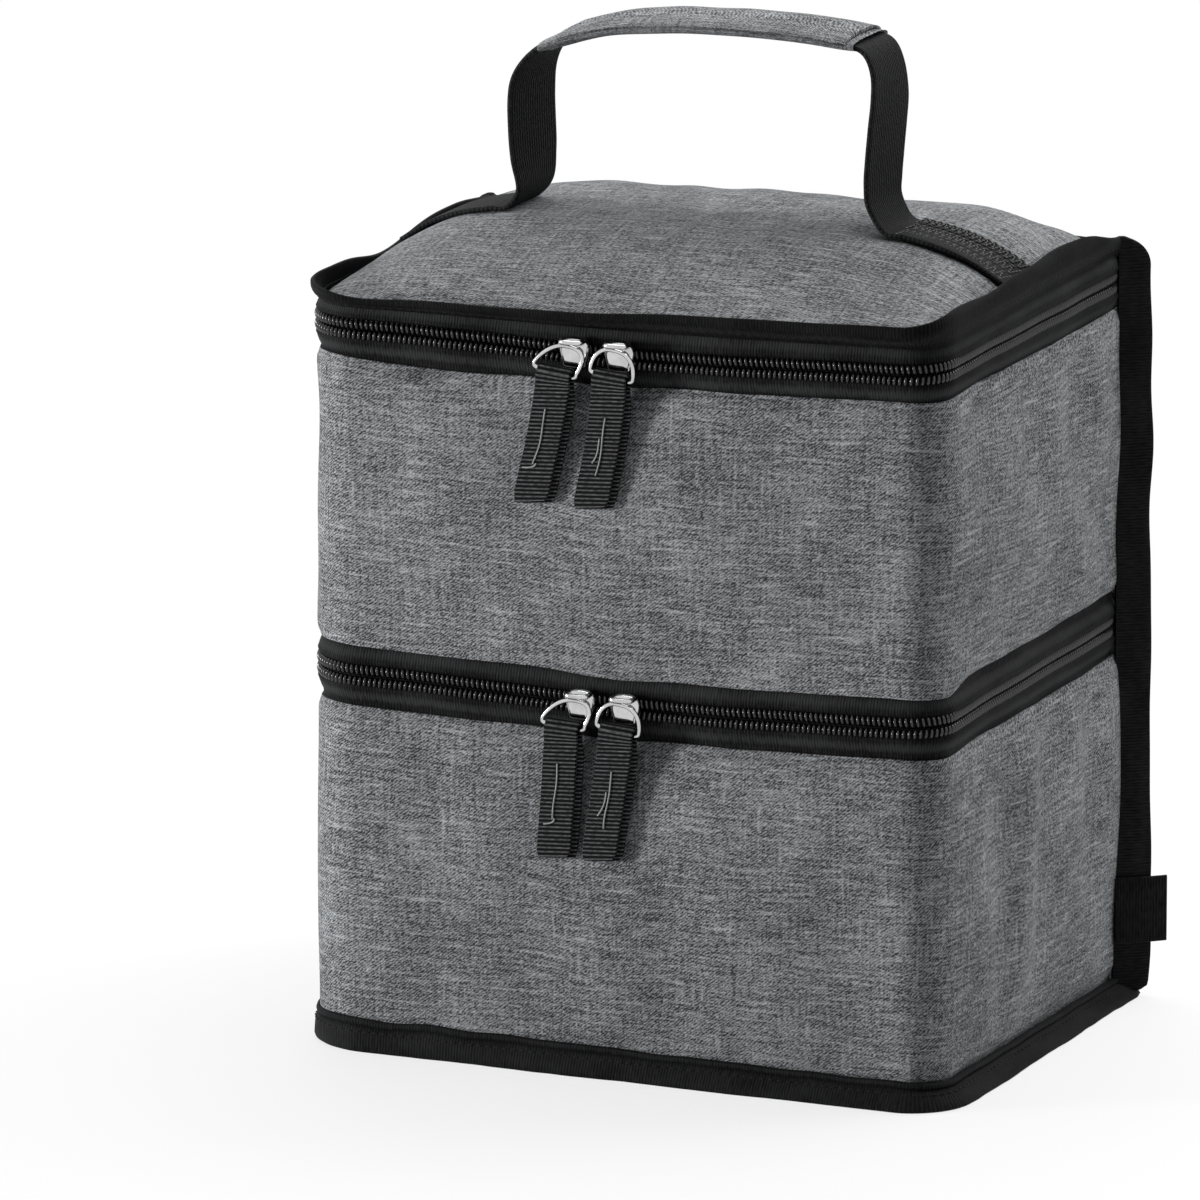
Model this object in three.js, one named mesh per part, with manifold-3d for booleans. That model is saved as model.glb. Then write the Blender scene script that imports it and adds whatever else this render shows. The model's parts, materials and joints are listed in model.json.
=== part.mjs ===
// A two-tier soft cooler bag: two foam-lined compartments stacked on one folding back panel and closed
// by a domed lid, with a two-way zip round each opening and a webbing handle on top.
// Millimetres, +Z up. The front faces -Y, and the origin is the middle of the base, on the floor.
import * as THREE from "three";
import { mergeVertices } from "three/addons/utils/BufferGeometryUtils.js";
import Module from "manifold-3d";

// Bag
const BAG_WIDTH = 210;
const BAG_DEPTH = 158;
const CORNER_RADIUS = 21; // the two upright corners at the front
const LOWER_HEIGHT = 118; // floor to the middle zip line
const UPPER_HEIGHT = 108.5; // middle zip line to the top zip line

// Wall layers, from the outside in, and the gap left between pieces that touch
const CLOTH = 1;
const FOAM = 4.4;
const FOIL = 0.8;
const CLEARANCE = 0.3;

// Zips
const ZIP_REVEAL = 8.6; // zip line to the edge of the wall cloth
const ZIP_GAP = 0.4; // between the two halves of a zip
const TAPE = 0.8;
const TAPE_TUCK = 1.2; // tape hidden behind the wall cloth
const COIL_HEIGHT = 3.8;
const COIL_PROUD = 1.9; // coil face in front of the wall cloth

// Bindings
const BASE_BINDING_HEIGHT = 10;
const BASE_BINDING = 1.6;
const DIVIDER_BINDING_WIDTH = 8;
const DIVIDER_BINDING = 1.4;
const LID_BINDING_HEIGHT = 6.6;
const LID_BINDING_PROUD = 2.2;
const FIN_REACH = 7; // back corner binding, out from the side wall
const FIN_DEPTH = 8;
const FIN_TIP = 3;

// Lid
const LID_RISE = 6.9; // top zip line to the underside of the lid binding
const LID_CROWN = 18;
const CROWN_COLUMNS = 12;
const CROWN_ROWS = 10;

// Mesh pocket under the lid
const POCKET_DROP = 3.2; // net above the top zip line
const POCKET_FRONT = -25; // free edge of the net, from the middle of the bag
const NET = 0.7;
const NET_STRAND = 1.6;
const NET_COLUMNS = 14;
const NET_ROWS = 8;
const TRIM_WIDTH = 8;
const TRIM = 1.8;

// Handle
const WEBBING = 1.6;
const WEBBING_WIDTH = 25;
const HANDLE_SPAN = 118; // between the two risers
const HANDLE_REACH = 43.6; // swing axis to the middle of the grip
const HANDLE_BEND = 9;
const FOOT_HEEL = 6; // sewn-down webbing inside the riser
const FOOT_MARGIN = 8; // sewn-down webbing to the edge of the lid
const GRIP_END = 9; // riser to the end of the grip sleeve
const GRIP_WIDTH = 30;
const GRIP_THICKNESS = 9;
const GRIP_ROUNDING = 3.4;

// Zip sliders and their pulls
const SLIDER_LENGTH = 12.6;
const SLIDER_NOSE = 6.4; // height of the narrow ends
const SLIDER_PLATE = 1.4;
const SLIDER_FLANGE = 0.8;
const LUG_WIDTH = 2.4;
const LUG_WALL = 1.4;
const WIRE_RADIUS = 0.75;
const RING_PLAY = 0.5; // round the wire, in the lug and in the tab
const RING_DROP = 8.6;
const RING_BEND = 1.8;
const TAB_WIDTH = 11;
const TAB_LENGTH = 42;
const TAB_CLOTH = 1.1; // one of the tab's two layers
const PULL_GAP = 1.4; // between the rings of a pair
const TOP_PAIR_X = -6.2;
const MID_PAIR_X = -4.3;
const TOP_LEANS = [12, 10.5]; // degrees, left and right pull
const MID_LEANS = [6, 9.5];

// Label sewn into the right back seam
const LABEL_LENGTH = 15;
const LABEL_HEIGHT = 21;
const LABEL = 1.2;
const LABEL_BOTTOM = 17.5;

// Facets
const ARC_STEPS = 3; // half the steps of a quarter turn
const WIRE_STEPS = 32;
const WIRE_SIDES = 6;
const OVERCUT = 1; // a cutter's length past the face that it cuts

// Planes and levels worked out from the sizes above
const SIDE = BAG_WIDTH / 2;
const BACK = BAG_DEPTH / 2;
const MID_ZIP = LOWER_HEIGHT;
const TOP_ZIP = LOWER_HEIGHT + UPPER_HEIGHT;
const FOAM_INSET = CLOTH + CLEARANCE;
const FOIL_INSET = FOAM_INSET + FOAM + CLEARANCE;
const TAPE_INSET = CLOTH + CLEARANCE;
const TAPE_INSIDE = TAPE_INSET + TAPE + CLEARANCE;
const FOAM_BACK = BACK - FOAM_INSET;
const WALL_BACK = BACK - FOIL_INSET;
const COIL_BACK = BACK - FIN_DEPTH - CLEARANCE;
const TAPE_REACH = ZIP_REVEAL + TAPE_TUCK;
const FOAM_TRIM = TAPE_REACH + CLEARANCE;
const LID_SEAM = TOP_ZIP + LID_RISE;
const LID_EDGE = LID_SEAM + LID_BINDING_HEIGHT;
const LID_RING = CLOTH + LID_BINDING_PROUD;
const LID_BACK = BACK - LID_RING - CLEARANCE;
const RISER_X = HANDLE_SPAN / 2;
const GRIP_LENGTH = HANDLE_SPAN - 2 * GRIP_END;
const EYE_RADIUS = WIRE_RADIUS + RING_PLAY;
const RING_WIDTH = TAB_WIDTH + 2 * (RING_BEND + CLEARANCE);
const PULL_SPACING = RING_WIDTH + 2 * WIRE_RADIUS + PULL_GAP;
const SLIDER_BACK = COIL_PROUD + CLEARANCE;
const SLIDER_FRONT = SLIDER_BACK + SLIDER_PLATE;
const EYE_OUT = SLIDER_FRONT + LUG_WALL + EYE_RADIUS;
const COIL_REACH = ZIP_GAP / 2 + COIL_HEIGHT + CLEARANCE;

const wasm = await Module();
wasm.setup();

// Materials
const greyCloth = () => new THREE.MeshStandardMaterial({ color: 0x6a6a6c, roughness: 0.9, metalness: 0 });
const blackTape = () => new THREE.MeshStandardMaterial({ color: 0x1c1c1e, roughness: 0.8, metalness: 0 });
const whiteFoam = () => new THREE.MeshStandardMaterial({ color: 0xe6e6e2, roughness: 0.9, metalness: 0 });
const silverFoil = () => new THREE.MeshStandardMaterial({ color: 0xc4c7cb, roughness: 0.3, metalness: 0.9 });
const chrome = () => new THREE.MeshStandardMaterial({ color: 0xd2d3d6, roughness: 0.15, metalness: 1 });

// Solids: join and cut closed meshes
function solid(geometry) {
  const bare = geometry.clone();
  bare.deleteAttribute("normal");
  bare.deleteAttribute("uv");
  const merged = mergeVertices(bare, 1e-4);
  const vertProperties = new Float32Array(merged.attributes.position.array);
  const triVerts = new Uint32Array(merged.index.array);
  return new wasm.Manifold(new wasm.Mesh({ numProp: 3, vertProperties, triVerts }));
}

function geometryOf(manifold) {
  const mesh = manifold.getMesh();
  const geometry = new THREE.BufferGeometry();
  geometry.setAttribute("position", new THREE.BufferAttribute(mesh.vertProperties, 3));
  geometry.setIndex(new THREE.BufferAttribute(mesh.triVerts, 1));
  geometry.computeVertexNormals();
  return geometry;
}

// Extrusions: up from a plan, across the bag from a front view, and along X from a side view
function extrude(shape, depth) {
  return new THREE.ExtrudeGeometry(shape, { depth, bevelEnabled: false, curveSegments: ARC_STEPS });
}

function prism(shape, bottom, top) {
  return extrude(shape, top - bottom).translate(0, 0, bottom);
}

function across(shape, front, back) {
  return extrude(shape, back - front).rotateX(Math.PI / 2).translate(0, back, 0);
}

function alongX(shape, length) {
  const turn = new THREE.Matrix4().makeBasis(
    new THREE.Vector3(0, 1, 0),
    new THREE.Vector3(0, 0, 1),
    new THREE.Vector3(1, 0, 0),
  );
  return extrude(shape, length).applyMatrix4(turn).translate(-length / 2, 0, 0);
}

function box(x, y, z) {
  const size = [x, y, z].map(([low, high]) => high - low);
  const middle = [x, y, z].map(([low, high]) => (low + high) / 2);
  return new THREE.BoxGeometry(...size).translate(...middle);
}

// Plans: the bag seen from above, at an inset from the wall's outer face
function frontCorners(path, inset) {
  const radius = CORNER_RADIUS - inset;
  const x = SIDE - CORNER_RADIUS;
  const y = CORNER_RADIUS - BACK;
  path.absarc(-x, y, radius, Math.PI, 1.5 * Math.PI);
  path.absarc(x, y, radius, 1.5 * Math.PI, 2 * Math.PI);
}

function bagPlan(inset, back, path = new THREE.Shape()) {
  path.moveTo(SIDE - inset, back);
  path.lineTo(inset - SIDE, back);
  frontCorners(path, inset);
  return path;
}

// The U of a wall that goes round the front and both sides
function wallPlan(outside, inside, back) {
  const shape = new THREE.Shape();
  const radius = CORNER_RADIUS - inside;
  const x = SIDE - CORNER_RADIUS;
  const y = CORNER_RADIUS - BACK;
  shape.moveTo(inside - SIDE, back);
  shape.lineTo(outside - SIDE, back);
  frontCorners(shape, outside);
  shape.lineTo(SIDE - outside, back);
  shape.lineTo(SIDE - inside, back);
  shape.absarc(x, y, radius, 0, -Math.PI / 2, true);
  shape.absarc(-x, y, radius, -Math.PI / 2, -Math.PI, true);
  return shape;
}

// A closed ring of binding that flares at the back corners, where it meets the upright bindings
function flaredRing(proud, rear, inset, insideBack) {
  const shape = new THREE.Shape();
  const tip = SIDE + FIN_REACH;
  shape.moveTo(FIN_TIP - tip, rear);
  shape.lineTo(-tip, BACK - FIN_TIP);
  shape.lineTo(-SIDE - proud, BACK - FIN_DEPTH);
  frontCorners(shape, -proud);
  shape.lineTo(SIDE + proud, BACK - FIN_DEPTH);
  shape.lineTo(tip, BACK - FIN_TIP);
  shape.lineTo(tip - FIN_TIP, rear);
  shape.holes.push(bagPlan(inset, insideBack, new THREE.Path()));
  return shape;
}

// An upright binding on a back corner, on the left (-1) or right (1)
function finPlan(hand) {
  const shape = new THREE.Shape();
  const root = SIDE + CLEARANCE;
  const tip = SIDE + FIN_REACH;
  shape.moveTo(hand * root, BACK - FIN_DEPTH);
  shape.lineTo(hand * tip, BACK - FIN_TIP);
  shape.lineTo(hand * (tip - FIN_TIP), BACK);
  shape.lineTo(hand * root, BACK);
  return shape;
}

// An open-topped lining
function tub(inset, back, bottom, top) {
  const outside = solid(prism(bagPlan(inset, back), bottom, top));
  const room = bagPlan(inset + FOIL, back - FOIL);
  return geometryOf(outside.subtract(solid(prism(room, bottom + FOIL, top + OVERCUT))));
}

function add(group, name, geometry, material) {
  const mesh = new THREE.Mesh(geometry, material);
  mesh.name = name;
  group.add(mesh);
  return mesh;
}

// One half of a zip, below (-1) or above (1) its line: flat tape, and a raised coil along its edge
function zipHalf(group, name, line, hand) {
  const rows = (reach) => [line + (hand * ZIP_GAP) / 2, line + hand * reach].sort((a, b) => a - b);
  const coilPlan = wallPlan(-COIL_PROUD, TAPE_INSET - CLEARANCE, COIL_BACK);
  const tapePlan = wallPlan(TAPE_INSET, TAPE_INSET + TAPE, WALL_BACK);
  add(group, `${name}_tape`, prism(tapePlan, ...rows(TAPE_REACH)), blackTape());
  add(group, `${name}_coil`, prism(coilPlan, ...rows(ZIP_GAP / 2 + COIL_HEIGHT)), blackTape());
}

// The back panel, its padding and its two corner bindings, between two levels
function backSection(group, name, bottom, top, foam, bindingBottom) {
  const width = [-SIDE, SIDE];
  add(group, `back_panel_${name}`, box(width, [BACK - CLOTH, BACK], [bottom, top]), greyCloth());
  if (foam) {
    const depth = [WALL_BACK + CLEARANCE, FOAM_BACK];
    add(group, `back_foam_${name}`, box(width, depth, foam), whiteFoam());
  }
  add(group, `back_binding_left_${name}`, prism(finPlan(-1), bindingBottom, top), blackTape());
  add(group, `back_binding_right_${name}`, prism(finPlan(1), bindingBottom, top), blackTape());
}

// Outer cloth, foam and foil of one compartment
function compartmentWalls(group, name, cloth, foam, foilBottom) {
  add(group, `${name}_outer_wall`, prism(wallPlan(0, CLOTH, WALL_BACK), ...cloth), greyCloth());
  const foamPlan = wallPlan(FOAM_INSET, FOAM_INSET + FOAM, WALL_BACK);
  add(group, `${name}_foam_wall`, prism(foamPlan, ...foam), whiteFoam());
  add(group, `${name}_foil_lining`, tub(FOIL_INSET, WALL_BACK, foilBottom, foam[1]), silverFoil());
}

function sideLabel() {
  const root = new THREE.Vector2(SIDE + CLEARANCE, BACK - FIN_DEPTH);
  const tip = new THREE.Vector2(SIDE + FIN_REACH, BACK - FIN_TIP);
  const seam = new THREE.Group();
  seam.position.set(root.x, root.y, LABEL_BOTTOM);
  seam.rotation.z = tip.sub(root).angle();
  const thickness = [-CLEARANCE - LABEL, -CLEARANCE];
  add(seam, "side_label", box([0, LABEL_LENGTH], thickness, [0, LABEL_HEIGHT]), blackTape());
  return seam;
}

function lowerCompartment() {
  const group = new THREE.Group();
  const boardBottom = CLOTH + CLEARANCE;
  const boardTop = boardBottom + FOAM;
  const top = MID_ZIP - ZIP_GAP / 2;
  const bindingBack = BACK + CLEARANCE;
  const binding = flaredRing(CLEARANCE + BASE_BINDING, bindingBack + BASE_BINDING, -CLEARANCE, bindingBack);
  const cloth = [CLEARANCE, MID_ZIP - ZIP_REVEAL];
  compartmentWalls(group, "lower", cloth, [boardBottom, MID_ZIP - FOAM_TRIM], boardTop + CLEARANCE);
  add(group, "base_outer_panel", prism(bagPlan(FOAM_INSET, FOAM_BACK), 0, CLOTH), blackTape());
  add(group, "base_foam_board", prism(bagPlan(FOIL_INSET, WALL_BACK), boardBottom, boardTop), whiteFoam());
  add(group, "base_binding", prism(binding, 0, BASE_BINDING_HEIGHT), blackTape());
  backSection(group, "lower", CLEARANCE, top, [boardBottom, top], BASE_BINDING_HEIGHT + CLEARANCE);
  zipHalf(group, "mid_zip_lower", MID_ZIP, -1);
  group.add(sideLabel());
  return group;
}

function upperCompartment() {
  const group = new THREE.Group();
  const boardBottom = MID_ZIP + FOAM_TRIM;
  const boardTop = boardBottom + FOAM;
  const panelBottom = boardBottom - CLEARANCE - CLOTH;
  const bindingTop = panelBottom - CLEARANCE;
  const ends = [MID_ZIP + ZIP_GAP / 2, TOP_ZIP - ZIP_GAP / 2];
  const cloth = [MID_ZIP + ZIP_REVEAL, TOP_ZIP - ZIP_REVEAL];
  compartmentWalls(group, "upper", cloth, [boardBottom, TOP_ZIP - FOAM_TRIM], boardTop + CLEARANCE);
  const panel = bagPlan(TAPE_INSIDE, WALL_BACK);
  add(group, "divider_outer_panel", prism(panel, panelBottom, panelBottom + CLOTH), silverFoil());
  const rim = bagPlan(TAPE_INSIDE, WALL_BACK);
  const rimInside = TAPE_INSIDE + DIVIDER_BINDING_WIDTH;
  rim.holes.push(bagPlan(rimInside, WALL_BACK - DIVIDER_BINDING_WIDTH, new THREE.Path()));
  add(group, "divider_binding", prism(rim, bindingTop - DIVIDER_BINDING, bindingTop), blackTape());
  const board = bagPlan(FOIL_INSET, WALL_BACK);
  add(group, "divider_foam_board", prism(board, boardBottom, boardTop), whiteFoam());
  backSection(group, "upper", ...ends, ends, ends[0]);
  zipHalf(group, "mid_zip_upper", MID_ZIP, 1);
  zipHalf(group, "top_zip_lower", TOP_ZIP, -1);
  return group;
}

// Height of the lid's dome above its edge
function crown(x, y) {
  return LID_CROWN * (1 - (x / SIDE) ** 2) * (1 - (y / BACK) ** 2);
}

// A block under the dome, down to a level below the dome's edge
function domedBlock(edge, bottom) {
  const block = new THREE.BoxGeometry(BAG_WIDTH, BAG_DEPTH, edge - bottom, CROWN_COLUMNS, CROWN_ROWS, 1);
  const points = block.attributes.position;
  for (let i = 0; i < points.count; i += 1) {
    const lift = points.getZ(i) > 0 ? crown(points.getX(i), points.getY(i)) : 0;
    points.setZ(i, points.getZ(i) + (edge + bottom) / 2 + lift);
  }
  return solid(block);
}

// One domed layer of the lid, from the level of its upper edge
function domedSheet(edge, thickness, inset) {
  const bottom = edge - thickness - OVERCUT;
  const sheet = domedBlock(edge, bottom).subtract(domedBlock(edge - thickness, bottom - OVERCUT));
  const cutter = prism(bagPlan(inset, LID_BACK), bottom, edge + LID_CROWN + OVERCUT);
  return geometryOf(sheet.intersect(solid(cutter)));
}

// A flat lattice, whose strands lie between each even line of a list and the odd line after it
function lattice(xs, ys, bottom, top) {
  const points = [bottom, top].flatMap((z) => ys.flatMap((y) => xs.flatMap((x) => [x, y, z])));
  const corner = (i, j, k) => (k * ys.length + j) * xs.length + i;
  const inside = (i, j) => i >= 0 && j >= 0 && i < xs.length - 1 && j < ys.length - 1;
  const filled = (i, j) => inside(i, j) && (i % 2 === 0 || j % 2 === 0);
  const index = [];
  const quad = (a, b, c, d) => index.push(a, b, c, a, c, d);
  const wall = (a, b) => quad(corner(...a, 0), corner(...b, 0), corner(...b, 1), corner(...a, 1));
  for (let j = 0; j < ys.length - 1; j += 1) {
    for (let i = 0; i < xs.length - 1; i += 1) {
      if (!filled(i, j)) continue;
      const round = [[i, j], [i + 1, j], [i + 1, j + 1], [i, j + 1]];
      quad(...round.map((at) => corner(...at, 1)));
      quad(...round.map((at) => corner(...at, 0)).reverse());
      if (!filled(i, j - 1)) wall(round[0], round[1]);
      if (!filled(i + 1, j)) wall(round[1], round[2]);
      if (!filled(i, j + 1)) wall(round[2], round[3]);
      if (!filled(i - 1, j)) wall(round[3], round[0]);
    }
  }
  const geometry = new THREE.BufferGeometry();
  geometry.setAttribute("position", new THREE.Float32BufferAttribute(points, 3));
  geometry.setIndex(index);
  geometry.computeVertexNormals();
  return geometry;
}

// Both edges of each strand, spread evenly from one end to the other
function strandEdges(low, high, gaps) {
  const pitch = (high - low - NET_STRAND) / gaps;
  const starts = Array.from({ length: gaps + 1 }, (_, i) => low + i * pitch);
  return starts.flatMap((start) => [start, start + NET_STRAND]);
}

// The net of the lid pocket, and the elastic along its free edge
function lidPocket(group) {
  const half = SIDE - TAPE_INSIDE;
  const front = POCKET_FRONT + TRIM_WIDTH / 2 + CLEARANCE;
  const back = BACK - CLOTH - CLEARANCE;
  const level = TOP_ZIP + POCKET_DROP;
  const columns = strandEdges(-half, half, NET_COLUMNS);
  const rows = strandEdges(front, back, NET_ROWS);
  add(group, "lid_mesh_pocket", lattice(columns, rows, level, level + NET), blackTape());
  const edge = [POCKET_FRONT - TRIM_WIDTH / 2, POCKET_FRONT + TRIM_WIDTH / 2];
  const middle = level + NET / 2;
  const trim = box([-half, half], edge, [middle - TRIM / 2, middle + TRIM / 2]);
  add(group, "lid_pocket_trim", trim, blackTape());
}

// Upper face of the webbing that is sewn down on the lid
function footTop(x) {
  return LID_EDGE + crown(x, 0) + CLEARANCE + WEBBING;
}

function handleFoot(hand) {
  const steps = 2 * ARC_STEPS;
  const start = RISER_X - FOOT_HEEL;
  const end = SIDE - LID_RING - FOOT_MARGIN;
  const line = [];
  for (let i = 0; i <= steps; i += 1) {
    const x = start + ((end - start) * i) / steps;
    line.push(new THREE.Vector2(hand * x, footTop(x)));
  }
  const under = line.map((point) => new THREE.Vector2(point.x, point.y - WEBBING)).reverse();
  return across(new THREE.Shape([...line, ...under]), -WEBBING_WIDTH / 2, WEBBING_WIDTH / 2);
}

function lid() {
  const group = new THREE.Group();
  const tapeRows = [TOP_ZIP + ZIP_GAP / 2, LID_SEAM - CLEARANCE];
  const tapePlan = wallPlan(TAPE_INSET, TAPE_INSET + TAPE, WALL_BACK);
  const coilPlan = wallPlan(-COIL_PROUD, TAPE_INSET - CLEARANCE, COIL_BACK);
  const coilRows = [tapeRows[0], TOP_ZIP + ZIP_GAP / 2 + COIL_HEIGHT];
  const ring = flaredRing(LID_BINDING_PROUD, BACK, CLOTH, BACK - LID_RING);
  const foamEdge = LID_EDGE - CLOTH - CLEARANCE;
  const foilEdge = foamEdge - FOAM - CLEARANCE;
  add(group, "lid_top_panel", domedSheet(LID_EDGE, CLOTH, FOAM_INSET), greyCloth());
  add(group, "lid_foam", domedSheet(foamEdge, FOAM, FOAM_INSET), whiteFoam());
  add(group, "lid_foil_lining", domedSheet(foilEdge, FOIL, TAPE_INSIDE), silverFoil());
  add(group, "lid_binding", prism(ring, LID_SEAM, LID_EDGE), blackTape());
  add(group, "lid_zip_tape", prism(tapePlan, ...tapeRows), blackTape());
  add(group, "lid_zip_coil", prism(coilPlan, ...coilRows), blackTape());
  backSection(group, "top", ...tapeRows, null, tapeRows[0]);
  lidPocket(group);
  add(group, "handle_foot_left", handleFoot(-1), blackTape());
  add(group, "handle_foot_right", handleFoot(1), blackTape());
  return group;
}

// A strip of even thickness along a line
function ribbon(line, thickness) {
  const edge = (side) => line.map((point, i) => {
    const before = line[Math.max(i - 1, 0)];
    const after = line[Math.min(i + 1, line.length - 1)];
    const along = after.clone().sub(before).normalize();
    return new THREE.Vector2(-along.y, along.x).multiplyScalar((side * thickness) / 2).add(point);
  });
  return new THREE.Shape([...edge(1), ...edge(-1).reverse()]);
}

// The handle, drawn about its swing axis: rounded riser ends that turn just above the sewn feet
function handle() {
  const group = new THREE.Group();
  const round = WEBBING_WIDTH / 2;
  group.position.z = footTop(RISER_X - WEBBING / 2) + round + CLEARANCE;
  const bend = new THREE.Path();
  bend.moveTo(-RISER_X, -round);
  bend.lineTo(-RISER_X, 0);
  bend.absarc(HANDLE_BEND - RISER_X, HANDLE_REACH - HANDLE_BEND, HANDLE_BEND, Math.PI, Math.PI / 2, true);
  bend.absarc(RISER_X - HANDLE_BEND, HANDLE_REACH - HANDLE_BEND, HANDLE_BEND, Math.PI / 2, 0, true);
  bend.lineTo(RISER_X, -round);
  const strap = across(ribbon(bend.getPoints(ARC_STEPS), WEBBING), -round, round);
  const ends = new THREE.Shape();
  ends.moveTo(round, HANDLE_REACH + WEBBING);
  ends.lineTo(-round, HANDLE_REACH + WEBBING);
  ends.absarc(0, 0, round, Math.PI, 2 * Math.PI);
  const rounded = solid(strap).intersect(solid(alongX(ends, HANDLE_SPAN + 2 * WEBBING)));
  add(group, "handle_webbing", geometryOf(rounded), blackTape());

  const y = GRIP_WIDTH / 2 - GRIP_ROUNDING;
  const z = GRIP_THICKNESS / 2 - GRIP_ROUNDING;
  const section = new THREE.Shape();
  section.absarc(y, z, GRIP_ROUNDING, 0, Math.PI / 2);
  section.absarc(-y, z, GRIP_ROUNDING, Math.PI / 2, Math.PI);
  section.absarc(-y, -z, GRIP_ROUNDING, Math.PI, 1.5 * Math.PI);
  section.absarc(y, -z, GRIP_ROUNDING, 1.5 * Math.PI, 2 * Math.PI);
  const slot = new THREE.Path();
  const slotY = WEBBING_WIDTH / 2 + CLEARANCE;
  const slotZ = WEBBING / 2 + CLEARANCE;
  slot.moveTo(-slotY, -slotZ);
  slot.lineTo(-slotY, slotZ);
  slot.lineTo(slotY, slotZ);
  slot.lineTo(slotY, -slotZ);
  section.holes.push(slot);
  const sleeve = alongX(section, GRIP_LENGTH).translate(0, 0, HANDLE_REACH);
  add(group, "handle_grip_sleeve", sleeve, greyCloth());
  return group;
}

// A slider, drawn about the zip line on the wall's face: front plate, lower flange and an eye for the ring
function slider() {
  const half = SLIDER_LENGTH / 2;
  const nose = SLIDER_NOSE / 2;
  const shoulder = COIL_REACH + SLIDER_FLANGE;
  const face = new THREE.Shape();
  face.moveTo(-half, -nose);
  face.quadraticCurveTo(-nose, -shoulder, 0, -shoulder);
  face.quadraticCurveTo(nose, -shoulder, half, -nose);
  face.lineTo(half, nose);
  face.quadraticCurveTo(nose, shoulder, 0, shoulder);
  face.quadraticCurveTo(-nose, shoulder, -half, nose);
  const plate = across(face, -SLIDER_FRONT, -SLIDER_BACK);
  const flange = box([-nose, nose], [-SLIDER_FRONT, TAPE_INSET - CLEARANCE], [-shoulder, -COIL_REACH]);
  const lug = new THREE.Shape();
  const outside = EYE_RADIUS + LUG_WALL;
  lug.moveTo(-SLIDER_BACK, -outside);
  lug.lineTo(-SLIDER_BACK, outside);
  lug.absarc(-EYE_OUT, 0, outside, Math.PI / 2, 1.5 * Math.PI);
  const eye = new THREE.Path();
  eye.absarc(-EYE_OUT, 0, EYE_RADIUS, 0, 2 * Math.PI);
  lug.holes.push(eye);
  return geometryOf(solid(plate).add(solid(flange)).add(solid(alongX(lug, LUG_WIDTH))));
}

// A wire ring, drawn about the middle of its arch: an arch that hangs a straight bar with rounded ends
class RingLine extends THREE.Curve {
  getPoint(t, target = new THREE.Vector3()) {
    const angle = 2 * Math.PI * t + Math.PI / 2;
    const half = RING_WIDTH / 2;
    const rise = RING_DROP - RING_BEND;
    const x = half * Math.sign(Math.cos(angle)) * Math.abs(Math.cos(angle)) ** 0.8;
    const arch = rise * (Math.sin(angle) - 1);
    const bar = -rise - RING_BEND * Math.abs(Math.sin(angle)) ** 0.35;
    return target.set(x, 0, Math.sin(angle) >= 0 ? arch : bar);
  }
}

function pullRing() {
  return new THREE.TubeGeometry(new RingLine(), WIRE_STEPS, WIRE_RADIUS, WIRE_SIDES, true);
}

// A webbing tab, drawn about the ring's bar: it loops over the bar and hangs in two layers
function pullTab() {
  const loop = EYE_RADIUS + TAB_CLOTH;
  const neck = Math.asin(TAB_CLOTH / loop);
  const side = new THREE.Shape();
  side.moveTo(-TAB_CLOTH, -TAB_LENGTH);
  side.lineTo(TAB_CLOTH, -TAB_LENGTH);
  side.absarc(0, 0, loop, neck - Math.PI / 2, 1.5 * Math.PI - neck);
  const hole = new THREE.Path();
  hole.absarc(0, 0, EYE_RADIUS, 0, 2 * Math.PI);
  side.holes.push(hole);
  return alongX(side, TAB_WIDTH);
}

// A pair of sliders on one zip, each with its ring and tab
function zipPulls(name, line, middle, leans) {
  const pair = new THREE.Group();
  ["left", "right"].forEach((hand, i) => {
    const pull = new THREE.Group();
    pull.position.set(middle + (i - 0.5) * PULL_SPACING, -BACK, line);
    add(pull, `${name}_slider_${hand}`, slider(), chrome());
    const hanger = new THREE.Group();
    hanger.position.y = -EYE_OUT;
    hanger.rotation.y = THREE.MathUtils.degToRad(leans[i]);
    add(hanger, `${name}_pull_ring_${hand}`, pullRing(), chrome());
    const tab = add(hanger, `${name}_pull_tab_${hand}`, pullTab(), blackTape());
    tab.position.z = -RING_DROP;
    pull.add(hanger);
    pair.add(pull);
  });
  return pair;
}

const bag = new THREE.Group();
bag.add(lowerCompartment());
bag.add(upperCompartment());
bag.add(lid());
bag.add(handle());
bag.add(zipPulls("mid", MID_ZIP, MID_PAIR_X, MID_LEANS));
bag.add(zipPulls("top", TOP_ZIP, TOP_PAIR_X, TOP_LEANS));

export default bag;
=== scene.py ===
# A two-tier soft cooler bag: heather cloth over padded boxes, black bindings, coil zips and bright pulls.
# Lengths are in millimetres, and each mesh is turned to metres as it is made. The front faces -Y.
import json
import math

import bmesh
import bpy
import numpy as np
from mathutils import Matrix, Vector


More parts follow.
